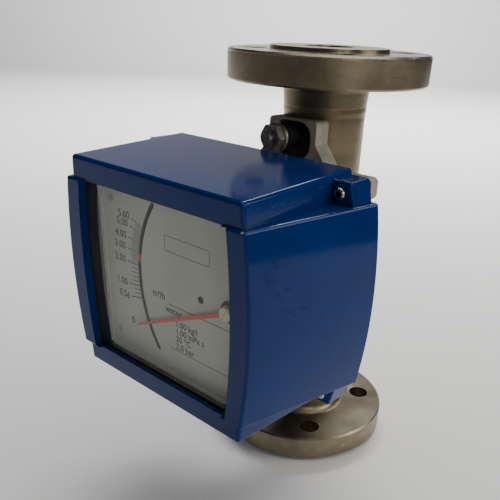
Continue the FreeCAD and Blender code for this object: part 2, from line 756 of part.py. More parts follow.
def tube_fixing():
    """Stud, rubber buffer, washer and nut above and below the cover."""
    studs = []
    buffers = []
    washers = []
    nuts = []
    hole = "stud_diameter + 2 * seat_clearance"
    bore = f"({hole}) / 2"
    flat = "nut_flats / 2"
    corner = f"{flat} / cos(30 deg)"
    chamfer = f"({corner} - {flat}) / 2"
    radius = "buffer_diameter / 2"
    stud_rear = f"({TUBE_RADIUS} - stud_seat_depth)"
    stud_length = f"({NUT_FRONT} + stud_end - {stud_rear})"
    for end in ("+", "-"):
        z = f"{MID} {end} {STUD_Z}"
        studs.append(turn("stud", [
            ("0", "0"),
            ("stud_diameter / 2", "0"),
            ("stud_diameter / 2", f"{stud_length} - stud_chamfer"),
            ("stud_diameter / 2 - stud_chamfer", stud_length),
            ("0", stud_length),
        ], "0", f"-{stud_rear}", z, FACING))
        buffers.append(turn("buffer", [
            (bore, "0"),
            (f"{radius} - buffer_taper / 2", "0"),
            (radius, "buffer_thickness - buffer_chamfer"),
            (f"{radius} - buffer_chamfer", "buffer_thickness"),
            (bore, "buffer_thickness"),
        ], "0", f"-{SEAT_FLOOR}", z, FACING))
        washer_span = (BUFFER_FRONT, WASHER_FRONT)
        disc = facing("washer_disc", "washer_diameter", washer_span, "0", z)
        washers.append(cut("washer", disc, [facing("washer_bore", hole, past(washer_span), "0", z)]))
        blank = turn("nut_blank", [
            (bore, "0"),
            (flat, "0"),
            (corner, chamfer),
            (corner, f"nut_height - {chamfer}"),
            (flat, "nut_height"),
            (bore, "nut_height"),
        ], "0", f"-{WASHER_FRONT}", z, FACING)
        nut = doc.addObject("Part::MultiCommon", "nut")
        nut.Shapes = [blank, hexagon("nut_bar", "nut_flats", (WASHER_FRONT, NUT_FRONT), "0", z)]
        nuts.append(nut)
    group("mounting_studs", studs)
    group("rubber_buffers", buffers)
    group("buffer_washers", washers)
    group("mounting_nuts", nuts)


def cheek_outline(inner, half_width, half_height, bow):
    low = f"{MID} - ({half_height})"
    high = f"{MID} + ({half_height})"
    return [(inner, low), (half_width, low, bow), (half_width, high), (inner, high)]


def bowed(half_width, half_height, bow):
    """A rectangle about the middle of the housing whose upright sides bow outwards."""
    corners = rectangle(half_width, half_height)
    corners[1] = corners[1] + (bow,)
    corners[3] = corners[3] + (bow,)
    return corners


def window_outline(growth):
    return bowed(f"({WINDOW_WIDTH} + {growth})", f"({WINDOW_HEIGHT} + {growth})", "window_bow")


def cover_cheek():
    """The right cheek: bowed outwards and flared towards the rear."""
    inner = f"{WINDOW_WIDTH} - wall"
    cheek = loft("cheek", cheek_outline(inner, CHEEK_WIDTH_REAR, CHEEK_HEIGHT_REAR, "cheek_bow_rear"),
                 cheek_outline(inner, CHEEK_WIDTH_FRONT, CHEEK_HEIGHT, "cheek_bow_front"),
                 (COVER_REAR, CHEEK_FRONT))

    def outer_edge(edge):
        return edge.BoundBox.XMax > value(REAR_WIDTH) and not at_depth(edge, COVER_REAR)

    return round_edges(cheek, "cheek_edges", "cheek_edge_radius", outer_edge)


def cheek_pocket():
    """The hollow behind the right cheek, open to the rear."""
    front = f"({COVER_REAR} + cheek_pocket_depth)"
    width = f"{CHEEK_WIDTH_FRONT} + ({CHEEK_FRONT} - {front}) * {CHEEK_SLOPE} - wall"
    rear_width = f"{CHEEK_WIDTH_REAR} - wall"
    rear = cheek_outline(REAR_WIDTH, rear_width, f"{CHEEK_HEIGHT_REAR} - wall", "cheek_bow_rear")
    end = cheek_outline(REAR_WIDTH, width, f"{CHEEK_HEIGHT} - wall", "cheek_bow_front")
    return loft("cheek_pocket", rear, end, (COVER_REAR, front))


def cover_ear(name, end):
    """A screw ear on the right, above or below the cheek and wider towards it."""
    inner = f"{REAR_WIDTH} - wall"
    sides = [(EAR_REACH, f"{MID} {end} {EAR_HEIGHT}"),
             (f"{EAR_REACH} + ear_flare", f"{MID} {end} ({CHEEK_HEIGHT} - wall / 2)")]
    low, high = sorted(sides, key=lambda side: value(side[1]))
    ear = extrude(name, [(inner, low[1]), low, high, (inner, high[1])], (COVER_REAR, EAR_FRONT))

    def outer_edge(edge):
        outside = edge.CenterOfMass.x > value(f"{REAR_WIDTH} + ear_width / 4")
        beyond = abs(edge.CenterOfMass.z - value(MID)) > value(CHEEK_HEIGHT)
        return outside and beyond and not at_depth(edge, COVER_REAR)

    return round_edges(ear, name + "_edges", "ear_edge_radius", outer_edge)


def front_cover():
    """Cast cover: drafted box, bowed and flared cheeks, window frame, ears and bosses for the pane."""
    box = loft("cover_box", bowed(REAR_WIDTH, REAR_HEIGHT, "cover_bow"),
               bowed("cover_half_width", "cover_half_height", "cover_bow"), (COVER_REAR, COVER_FRONT))
    round_edges(box, "cover_box_edges", "cover_edge_radius",
                lambda edge: at_depth(edge, COVER_FRONT) or runs_front_to_back(edge))
    cheek = cover_cheek()
    pocket = cheek_pocket()
    pieces = [box, cheek, mirror("cheek_left", cheek)]
    for name, end in (("upper_ear", "+"), ("lower_ear", "-")):
        ear = cover_ear(name, end)
        pieces += [ear, mirror(name + "_left", ear)]
    cavity = loft("cover_cavity", rectangle(f"({REAR_WIDTH} - wall)", CAVITY_HEIGHT_REAR),
                  rectangle(CAVITY_WIDTH, CAVITY_HEIGHT), (COVER_REAR, CAVITY_FRONT))
    opening = extrude("window_opening", window_outline("0"), past((CAVITY_FRONT, CHEEK_FRONT)))
    tools = [cavity, opening, pocket, mirror("cheek_pocket_left", pocket)]
    for x, z in four_places(EAR_SCREW_X, EAR_SCREW_Z):
        hole = "screw_diameter + 2 * screw_clearance"
        tools.append(facing("ear_hole", hole, past((COVER_REAR, EAR_FRONT)), x, z))
    shell = cut("cover_shell", fuse("cover_cast", pieces), tools)
    bosses = []
    threads = []
    for x, z in four_places(BOSS_X, BOSS_Z):
        boss_span = (GLASS_REAR, f"{CAVITY_FRONT} + front_wall / 2")
        bosses.append(facing("strip_boss", "boss_diameter", boss_span, x, z))
        reach = (f"{GLASS_REAR} - cut_overlap", f"{GLASS_REAR} + strip_screw_grip")
        threads.append(facing("strip_thread", "strip_screw_diameter + 2 * seat_clearance", reach, x, z))
    node("front_cover", cut("cover_tapped", fuse("cover_with_bosses", [shell] + bosses), threads))


def screw(name, place, seat, grip, diameter, head_diameter, head_height):
    """A screw whose head stands on a seat and whose shank reaches a grip behind it."""
    x, z = place
    return turn(name, [
        ("0", f"-({grip})"),
        (f"{diameter} / 2", f"-({grip})"),
        (f"{diameter} / 2", "0"),
        (f"{head_diameter} / 2", "0"),
        (f"{head_diameter} / 2", head_height),
        ("0", head_height),
    ], x, f"-({seat})", z, FACING)


def cover_screws():
    """Domed screws with a hexagon socket, through the cover's ears into the base."""
    screws = []
    grip = "ear_depth + cover_gasket_thickness + screw_grip - end_clearance"
    top = f"{EAR_FRONT} + screw_head_height"
    for x, z in four_places(EAR_SCREW_X, EAR_SCREW_Z):
        blank = screw("cover_screw", (x, z), EAR_FRONT, grip, "screw_diameter", "screw_head_diameter",
                      "screw_head_height")

        def crown(edge):
            return all(abs(vertex.Z - value("screw_head_height")) < TOUCH for vertex in edge.Vertexes)

        round_edges(blank, "cover_screw_dome", "screw_head_round", crown)
        socket_span = (f"{top} - screw_socket_depth", f"{top} + cut_overlap")
        socket = hexagon("socket", "screw_socket_flats", socket_span, x, z)
        screws.append(cut("cover_screw_cut", blank, [socket]))
    group("cover_screws", screws)


def cover_gasket():
    """Flat seal between the cover's rim and the base."""
    seal_span = (BASE_FRONT, COVER_REAR)
    outer = extrude("cover_gasket_sheet", rectangle(f"({BASE_WIDTH} - cover_gasket_inset)",
                                                    f"({BASE_HEIGHT} - cover_gasket_inset)"), seal_span)
    inner = extrude("cover_gasket_opening", rectangle(f"({REAR_WIDTH} - wall)", CAVITY_HEIGHT_REAR),
                    past(seal_span))
    node("cover_gasket", cut("cover_gasket_ring", outer, [inner]))


def window():
    """Pane, its gasket against the frame, and two screwed strips that hold it."""
    pane = extrude("pane", rectangle(GLASS_WIDTH, GLASS_HEIGHT), (GLASS_REAR, GLASS_FRONT))
    node("window_glass", round_edges(pane, "pane_corners", "glass_corner_radius", runs_front_to_back))
    seal_span = (GLASS_FRONT, CAVITY_FRONT)
    outer = extrude("window_gasket_sheet", rectangle(GLASS_WIDTH, GLASS_HEIGHT), seal_span)
    inner = extrude("window_gasket_opening", window_outline("window_gasket_lap"), past(seal_span))
    node("window_gasket", cut("window_gasket_ring", outer, [inner]))
    strips = []
    screws = []
    strip_rear = f"({GLASS_REAR} - strip_thickness)"
    strip_span = (strip_rear, GLASS_REAR)
    for end in ("+", "-"):
        z = span(f"{MID} {end} ({GLASS_HEIGHT} - strip_lap)",
                 f"{MID} {end} ({CAVITY_HEIGHT} - strip_edge_gap)")
        bar = block("strip_bar", (f"-{STRIP_WIDTH}", STRIP_WIDTH), strip_span, z)
        holes = []
        for side in ("", "-"):
            x = f"{side}{BOSS_X}"
            height = f"{MID} {end} {BOSS_Z}"
            bore = "strip_screw_diameter + 2 * seat_clearance"
            holes.append(facing("strip_hole", bore, past(strip_span), x, height))
            shank = (strip_rear, f"{GLASS_REAR} + strip_screw_grip - end_clearance")
            head = (f"{strip_rear} - strip_screw_head_height", strip_rear)
            pin = facing("strip_screw_shank", "strip_screw_diameter", shank, x, height)
            cap = facing("strip_screw_head", "strip_screw_head_diameter", head, x, height)
            screws.append(fuse("strip_screw", [pin, cap]))
        strips.append(cut("strip", bar, holes))
    group("retainer_strips", strips)
    group("retainer_screws", screws)


def dial():
    """Dial plate with a raised rim, a curved slot and holes; the posts that carry it and their screws."""
    sheet_span = (DIAL_REAR, f"{DIAL_FRONT} + dial_rim_rise")
    plate = extrude("dial_sheet", rectangle(DIAL_WIDTH, DIAL_HEIGHT), sheet_span)
    round_edges(plate, "dial_corners", "dial_corner_radius", runs_front_to_back)
    field = rectangle(f"({DIAL_WIDTH} - dial_rim)", f"({DIAL_HEIGHT} - dial_rim)")
    tools = [extrude("dial_field", field, (DIAL_FRONT, f"{DIAL_FRONT} + dial_rim_rise + cut_overlap"))]
    through = past((DIAL_REAR, DIAL_FRONT))
    outer = facing("slot_outer", "2 * slot_radius + slot_width", through, "0", "0")
    bind(outer, "Angle", "2 * slot_half_angle * 1 deg")
    inner = facing("slot_inner", "2 * slot_radius - slot_width", past(through), "0", "0")
    tools.append(swing(cut("slot_band", outer, [inner]), "slot_half_angle - 180"))
    for angle in ("slot_half_angle", "-slot_half_angle"):
        tools.append(facing("slot_end", "slot_width", through, *polar("slot_radius", angle)))
    hub_hole = "hub_flange_diameter + 2 * dial_hub_gap"
    tools.append(facing("dial_hub_hole", hub_hole, through, POINTER_X, POINTER_Z))
    small_place = polar("dial_small_hole_reach", "0")
    tools.append(facing("dial_small_opening", "dial_small_hole", through, *small_place))
    posts = []
    screws = []
    thread = "dial_screw_diameter + 2 * seat_clearance"
    for x, z in four_places(POST_X, POST_Z):
        tools.append(facing("dial_screw_hole", thread, through, x, z))
        bar = facing("post_bar", "post_diameter", (BASE_FRONT, DIAL_REAR), x, z)
        pin_span = (f"{BASE_FRONT} - dial_screw_grip + end_clearance", f"{BASE_FRONT} + cut_overlap")
        pin = facing("post_pin", "dial_screw_diameter", pin_span, x, z)
        bore_span = (f"{DIAL_REAR} - dial_screw_grip", f"{DIAL_REAR} + cut_overlap")
        bore = facing("post_bore", thread, bore_span, x, z)
        posts.append(cut("post", fuse("post_turned", [bar, pin]), [bore]))
        grip = "dial_thickness + dial_screw_grip - end_clearance"
        screws.append(screw("dial_screw", (x, z), DIAL_FRONT, grip, "dial_screw_diameter",
                            "dial_screw_head_diameter", "dial_screw_head_height"))
    node("dial_plate", cut("dial_punched", plate, tools))
    group("dial_posts", posts)
    group("dial_screws", screws)


def bracket_screw_places():
    z = f"{POINTER_Z} - bracket_drop - bracket_sheet - bracket_foot / 2"
    return [(f"{POINTER_X} {side} bracket_screw_spread", z) for side in ("+", "-")]


def bearing_bracket():
    """Folded bracket on the base, with a bush for the pointer shaft in each of its two upright plates."""
    x = (f"{POINTER_X} - bracket_half_width", f"{POINTER_X} + bracket_half_width")
    web_top = f"({POINTER_Z} - bracket_drop)"
    web_bottom = f"({web_top} - bracket_sheet)"
    top = f"({POINTER_Z} + bracket_rise)"
    foot_front = f"({BASE_FRONT} + bracket_sheet)"
    rear_span = (BRACKET_REAR, f"{BRACKET_REAR} + bracket_sheet")
    front_span = (f"({BRACKET_FRONT} - bracket_sheet)", BRACKET_FRONT)
    pieces = [
        block("bracket_foot_plate", x, (BASE_FRONT, foot_front), (f"{web_bottom} - bracket_foot", web_top)),
        block("bracket_web", x, (BASE_FRONT, BRACKET_FRONT), (web_bottom, web_top)),
        block("bracket_rear_plate", x, rear_span, (web_bottom, top)),
        block("bracket_front_plate", x, front_span, (web_bottom, top)),
    ]
    seat = "bearing_diameter + 2 * seat_clearance"
    tools = [facing("bearing_seat", seat, past((BRACKET_REAR, BRACKET_FRONT)), POINTER_X, POINTER_Z)]
    screws = []
    for place in bracket_screw_places():
        hole = "bracket_screw_diameter + 2 * seat_clearance"
        tools.append(facing("bracket_hole", hole, past((BASE_FRONT, foot_front)), *place))
        grip = "bracket_sheet + screw_grip - end_clearance"
        screws.append(screw("bracket_screw", place, foot_front, grip, "bracket_screw_diameter",
                            "bracket_screw_head_diameter", "bracket_screw_head_height"))
    node("bearing_bracket", cut("bracket_drilled", fuse("bracket_folded", pieces), tools))
    group("bracket_screws", screws)
    bush = "shaft_diameter / 2 + shaft_clearance"
    barrel = "bearing_diameter / 2"
    collar = f"{barrel} + bearing_collar_width"
    bearings = [("front_bearing", front_span[0], "bearing_nose"), ("rear_bearing", BRACKET_REAR, "0")]
    for label, rear, nose in bearings:
        node(label, turn(label + "_bush", [
            (bush, "-bearing_collar"),
            (collar, "-bearing_collar"),
            (collar, "0"),
            (barrel, "0"),
            (barrel, f"bracket_sheet + {nose}"),
            (bush, f"bracket_sheet + {nose}"),
        ], POINTER_X, f"-{rear}", POINTER_Z, FACING))


def pointer_and_hub():
    """Pointer blade on a slotted hub, and the shaft that carries both."""
    bore = "(shaft_diameter / 2 + seat_clearance)"
    barrel = "hub_barrel_diameter / 2"
    rim = "hub_flange_diameter / 2"
    hub_rear = f"({DIAL_FRONT} - hub_rear_reach)"
    seat = f"({POINTER_REAR} - {hub_rear})"
    cap = "hub_cap_diameter / 2"
    neck_end = f"({POINTER_FRONT} - {hub_rear})"
    top = f"({neck_end} + hub_front_rise)"
    bore_end = f"({neck_end} + seat_clearance)"
    hub = turn("hub_turned", [
        (bore, "0"),
        (barrel, "0"),
        (barrel, f"{seat} - hub_flange_thickness"),
        (rim, f"{seat} - hub_flange_thickness"),
        (rim, seat),
        (barrel, seat),
        (barrel, neck_end),
        (cap, neck_end),
        (cap, top),
        ("0", top),
        ("0", bore_end),
        (bore, bore_end),
    ], POINTER_X, f"-{hub_rear}", POINTER_Z, FACING)
    hub_front = f"{POINTER_FRONT} + hub_front_rise"
    slot_span = (f"{hub_front} - hub_slot_depth", f"{hub_front} + cut_overlap")
    slot = level_bar("hub_slot", f"-{rim}", rim, "hub_slot_width", slot_span)
    node("pointer_hub", cut("hub_slotted", hub, [swing(slot, "-hub_slot_angle")]))
    shaft_span = (f"{ARM_REAR} - shaft_tail", POINTER_FRONT)
    node("pointer_shaft", facing("shaft_bar", "shaft_diameter", shaft_span, POINTER_X, POINTER_Z))
    tip = "-(slot_radius + pointer_overreach)"
    neck = f"{tip} + pointer_tip_length"
    blade_span = (POINTER_REAR, POINTER_FRONT)
    blade = extrude("pointer_blade", [
        (tip, "-pointer_tip_width / 4"),
        (neck, "-pointer_tip_width / 2"),
        ("0", "-pointer_root_width / 2"),
        ("0", "pointer_root_width / 2"),
        (neck, "pointer_tip_width / 2"),
        (tip, "pointer_tip_width / 4"),
    ], blade_span)
    eye = facing("pointer_eye", "pointer_eye_diameter", blade_span, "0", "0")
    hole = facing("pointer_hole", "hub_barrel_diameter + 2 * seat_clearance", past(blade_span), "0", "0")
    punched = cut("pointer_punched", fuse("pointer_sheet", [blade, eye]), [hole])
    node("pointer", swing(punched, "-pointer_rest_angle"))


def follower():
    """Arm on the shaft's tail with the magnet that follows the float, and its counterweight."""
    arm_span = (ARM_REAR, ARM_FRONT)
    reach = POINTER_X
    bar = level_bar("arm_bar", f"-{reach}", "counterweight_reach", "arm_width", arm_span)
    arm = fuse("arm_blank", [bar, facing("arm_hub", "arm_hub_diameter", arm_span, "0", "0"),
                             facing("arm_eye", "arm_eye_diameter", arm_span, f"-{reach}", "0")])
    tools = [facing("arm_bore", "shaft_diameter + 2 * seat_clearance", past(arm_span), "0", "0"),
             facing("arm_seat", "magnet_pin_diameter + 2 * seat_clearance", past(arm_span), f"-{reach}", "0")]
    node("follower_arm", swing(cut("arm_drilled", arm, tools), "-pointer_rest_angle"))
    magnet_rear = f"({POCKET_REAR} + follower_magnet_gap)"
    magnet_front = f"({magnet_rear} + follower_magnet_length)"
    place = polar(reach, "-pointer_rest_angle")
    node("magnet_post", fuse("magnet_post_turned", [
        facing("magnet_post_bar", "magnet_post_diameter", (magnet_front, ARM_REAR), *place),
        facing("magnet_post_pin", "magnet_pin_diameter", (f"{ARM_REAR} - cut_overlap", ARM_FRONT), *place),
    ]))
    node("follower_magnet", facing("follower_magnet_bar", "follower_magnet_diameter",
                                   (magnet_rear, magnet_front), *place))
    weight_span = (f"{ARM_REAR} - counterweight_thickness", ARM_REAR)
    place = polar("-counterweight_reach", "-pointer_rest_angle")
    node("counterweight", facing("counterweight_disc", "counterweight_diameter", weight_span, *place))


def limit_set():
    """Arm on the front bearing's nose that carries the red marker in the dial's slot."""
    arm_rear = f"({BRACKET_FRONT} + limit_gap)"
    arm_front = f"({arm_rear} + limit_arm_thickness)"
    arm_span = (arm_rear, arm_front)
    thickness = "(slot_width - 2 * marker_side_gap)"
    outer = f"-(slot_radius + {thickness} / 2)"
    inner = f"-(slot_radius - {thickness} / 2)"
    bore = "bearing_diameter + 2 * limit_ring_clearance"
    bar = level_bar("limit_bar", outer, "0", "limit_arm_width", arm_span)
    ring = facing("limit_ring", f"{bore} + 2 * limit_ring_width", arm_span, "0", "0")
    hole = facing("limit_bore", bore, past(arm_span), "0", "0")
    node("limit_arm", swing(cut("limit_drilled", fuse("limit_blank", [bar, ring]), [hole]), "limit_angle"))
    flag_span = (arm_front, f"{DIAL_FRONT} + marker_proud")
    flag = level_bar("marker_flag", outer, inner, "marker_height", flag_span)
    node("limit_marker", swing(flag, "limit_angle"))


flange("lower_flange", "0", UPRIGHT)
flange("upper_flange", "face_to_face", INVERTED)
measuring_tube()
guides()
float_pieces()
indicator_base()
tube_fixing()
front_cover()
cover_screws()
cover_gasket()
window()
dial()
bearing_bracket()
pointer_and_hub()
follower()
limit_set()
doc.recompute()

faults = [thing.Name for thing in doc.Objects if {"Invalid", "Error"} & set(thing.State)]
faults += [label for label, thing in nodes.items() if thing.Shape.isNull() or not thing.Shape.isValid()]
if faults:
    raise RuntimeError("failed: " + ", ".join(faults))
os.makedirs("parts", exist_ok=True)
for label, thing in nodes.items():
    thing.Shape.exportStep(f"parts/{label}.step")
    print(label, len(thing.Shape.Solids), round(thing.Shape.Volume, 1))
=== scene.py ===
import math
import bpy
from mathutils import Matrix, Vector


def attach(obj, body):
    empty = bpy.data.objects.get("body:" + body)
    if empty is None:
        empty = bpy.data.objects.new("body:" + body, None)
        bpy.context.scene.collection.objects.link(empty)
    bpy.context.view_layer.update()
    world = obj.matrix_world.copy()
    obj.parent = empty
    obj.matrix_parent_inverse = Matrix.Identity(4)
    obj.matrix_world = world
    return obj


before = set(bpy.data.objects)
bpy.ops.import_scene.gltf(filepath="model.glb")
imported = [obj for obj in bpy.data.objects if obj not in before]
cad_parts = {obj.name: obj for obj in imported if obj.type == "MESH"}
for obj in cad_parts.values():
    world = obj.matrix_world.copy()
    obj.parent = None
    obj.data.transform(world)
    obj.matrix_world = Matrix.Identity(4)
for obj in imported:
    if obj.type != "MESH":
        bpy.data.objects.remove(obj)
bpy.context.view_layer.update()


def mm(length):
    """Millimetres as Blender's metres."""
    return length / 1000


# Places on the meter, in millimetres: x from the middle plane, y from the tube's axis,
# z from the lower sealing face.

# Flanges: the upper one is clean above UPPER_FACE and lightened there by a painted highlight,
# and painted shade darkens its underside above UPPER_BACK. The lower one's rim ends at
# LOWER_BACK. The upper hub is tinted by heat.
UPPER_FACE = 246.0
UPPER_BACK = 220.0
LOWER_BACK = 19.0
HUB_MIDDLE = 218.0
HUB_REACH = 13.5

# Base: the hollow that a rubber buffer stands in lies behind this rim; faces behind it that
# look to the front or back are painted in shade.
SEAT_RIM = 29.2

# Cover: its middle height, and how far its hollow reaches to the front, to the sides
# and up or down from the middle. Inside these bounds the hollow is painted in shade.
MIDDLE = 137.4
INNER_FRONT = 131.2
INNER_SIDE = 60.0
INNER_END = 59.0
# Its screws, sideways and up or down from the middle, and the reach of their sockets,
# which are painted in shade.
COVER_SCREW = (66.7, 54.85)
SOCKET_REACH = 1.47
# Corners with small pale spots, of lost paint and of painted glints, and how far round them.
CHIPS_AND_GLINTS = [((62.5, -135.6, 186.0), 1.5), ((60.6, -133.4, 197.2), 1.2),
          ((63.0, -135.4, 101.0), 1.0), ((64.0, -135.0, 150.0), 0.8),
          ((-60.6, -133.4, 197.2), 1.0)]
# Scuffed patches on the right cheek, in a row from the front down to the back,
# and the slope of their strokes in degrees.
SCUFFS = [((68.5, -124.5, 167.0), 7.0), ((71.0, -116.0, 157.0), 8.0),
          ((72.8, -109.5, 146.0), 10.0), ((75.0, -98.5, 138.0), 10.0),
          ((78.0, -82.5, 129.0), 10.0)]
SCUFF_SLOPE = 32

# Dial: the pointer's axis as x and z, how far in front the face stands, how far the
# curved slot reaches from the axis, and the thickness of the ink.
POINTER_AXIS = (43.0, 139.0)
DIAL_FACE = 122.2
SLOT_REACH = 70.0
INK = 0.05
# The pointer's dark tip lies to the left of one of these and below the other.
TIP_SIDE = -23.6
TIP_TOP = 125.0

# Scale: each figure with its angle above the level of the pointer's axis, in degrees,
# and the number of parts between it and the next.
SCALE = [(5.60, 22.4), (5.00, 18.9), (4.00, 13.8), (3.00, 9.1), (2.00, 3.5), (1.00, -6.2),
         (0.56, -11.9)]
PARTS_BETWEEN = [3, 5, 5, 5, 5, 3]
# Marks and figures by their distance from the pointer's axis.
MARK_START = 68.95
LONG_MARK_END = 77.8
SHORT_MARK_END = 74.2
FIGURE_START = 79.6
LONG_MARK_WIDTH = 0.55
SHORT_MARK_WIDTH = 0.42
FIGURE_HEIGHT = 3.9
FIGURE_WEIGHT = 0.07

# Legend: rules as (x of the middle, z, length), and the bare box by its sides and ends.
RULES = [(20.5, 128.8, 44.8), (20.2, 103.0, 43.3)]
RULE_WIDTH = 0.45
BOX_SIDES = (-2.9, 29.2)
BOX_ENDS = (158.0, 166.0)
BOX_LINE = 0.3
# Words as (text, x, z, height, side of the place that they line up with).
WORDS = [("m³/h", -14.5, 131.7, 3.8, "LEFT"),
         ("0", -32.0, 108.0, 4.0, "RIGHT"),
         ("water", -4.5, 125.6, 3.9, "LEFT"),
         ("1.00 kg/l", 3.2, 119.2, 3.5, "LEFT"),
         ("1.00 mPa s", 3.2, 114.6, 3.5, "LEFT"),
         ("20 °C", 3.2, 110.1, 3.5, "LEFT"),
         ("2.0 bar", 3.2, 105.6, 3.5, "LEFT")]
WORD_WEIGHT = 0.08
# Height of a figure as a share of the type's size, and steps in a letter's curves.
FIGURE_SHARE = 0.7
LETTER_STEPS = 3

# Threads on the ends of the studs: their heights, where the ridge starts in front of the
# tube's axis, and the ridge's turns, pitch and radii.
STUD_HEIGHTS = (69.7, 205.1)
THREAD_START = 48.2
THREAD_TURNS = 2.6
THREAD_PITCH = 1.25
THREAD_ROOT = 3.6
THREAD_CREST = 4.2
# Half the ridge's foot as a share of the pitch, and its flat crest as a share of the foot.
THREAD_FOOT = 0.46
THREAD_FLAT = 0.15
# Steps along the ridge, and the angle in degrees below which an edge looks smooth.
THREAD_STEPS = 96
THREAD_SMOOTH = 30

# Sweep of paper, in metres: its size, how far it goes to the right at its front and at its
# back, the height of its wall, the bend between, and its turn in degrees.
SWEEP_SIZE = 7
SWEEP_RIGHT = (0.4, 1.65)
SWEEP_WALL = 0.7
SWEEP_BEND = 0.6
SWEEP_STEPS = 16
SWEEP_TURN = 40
# The paper's back edge lies behind SWEEP_BACK, and the foot of its wall below SWEEP_FOOT.
SWEEP_BACK = 3
SWEEP_FOOT = 0.1

# Lights as (name, place, target, size, power, colour).
LIGHTS = [
    ("right_softbox", (1.4, 0.7, 0.9), (0, 0, 0.15), (0.9, 0.9), 10.5, (1.0, 0.95, 0.88)),
    ("front_fill", (1.45, -0.8, 0.75), (0, 0, 0.15), (0.8, 0.8), 4, (1.0, 0.97, 0.92)),
    ("left_card", (-2.22, 1.38, 0.75), (0, -0.1, 0.2), (1.6, 1.0), 1.97, (1.0, 0.98, 0.96)),
    ("background_light", (-0.6, 1.2, 1.6), (-1.6, 1.9, 0.0), (1.6, 1.0), 95, (1.0, 0.99, 0.98)),
    ("top_softbox", (0.0, 0.5, 2.0), (0, 0.3, 0.0), (1.6, 1.6), 14, (1.0, 0.98, 0.95)),
]
AMBIENT_COLOUR = (0.93, 0.95, 1.0, 1)
AMBIENT_STRENGTH = 0.08
BACKDROP_COLOUR = (0.72, 0.72, 0.715, 1)

# Camera: turn, tilt and roll in degrees, place in metres, lens in millimetres, framing.
VIEW_ANGLES = (40.417, 28.244, 2.484)
EYE_PLACE = (0.22228, -0.30620, 0.26249)
SENSOR_WIDTH = 36
FOCAL_LENGTH = 43.222
FRAME_SHIFT = (-0.02976, 0.18186)
CLIP_RANGE = (0.01, 50)


# Finishes

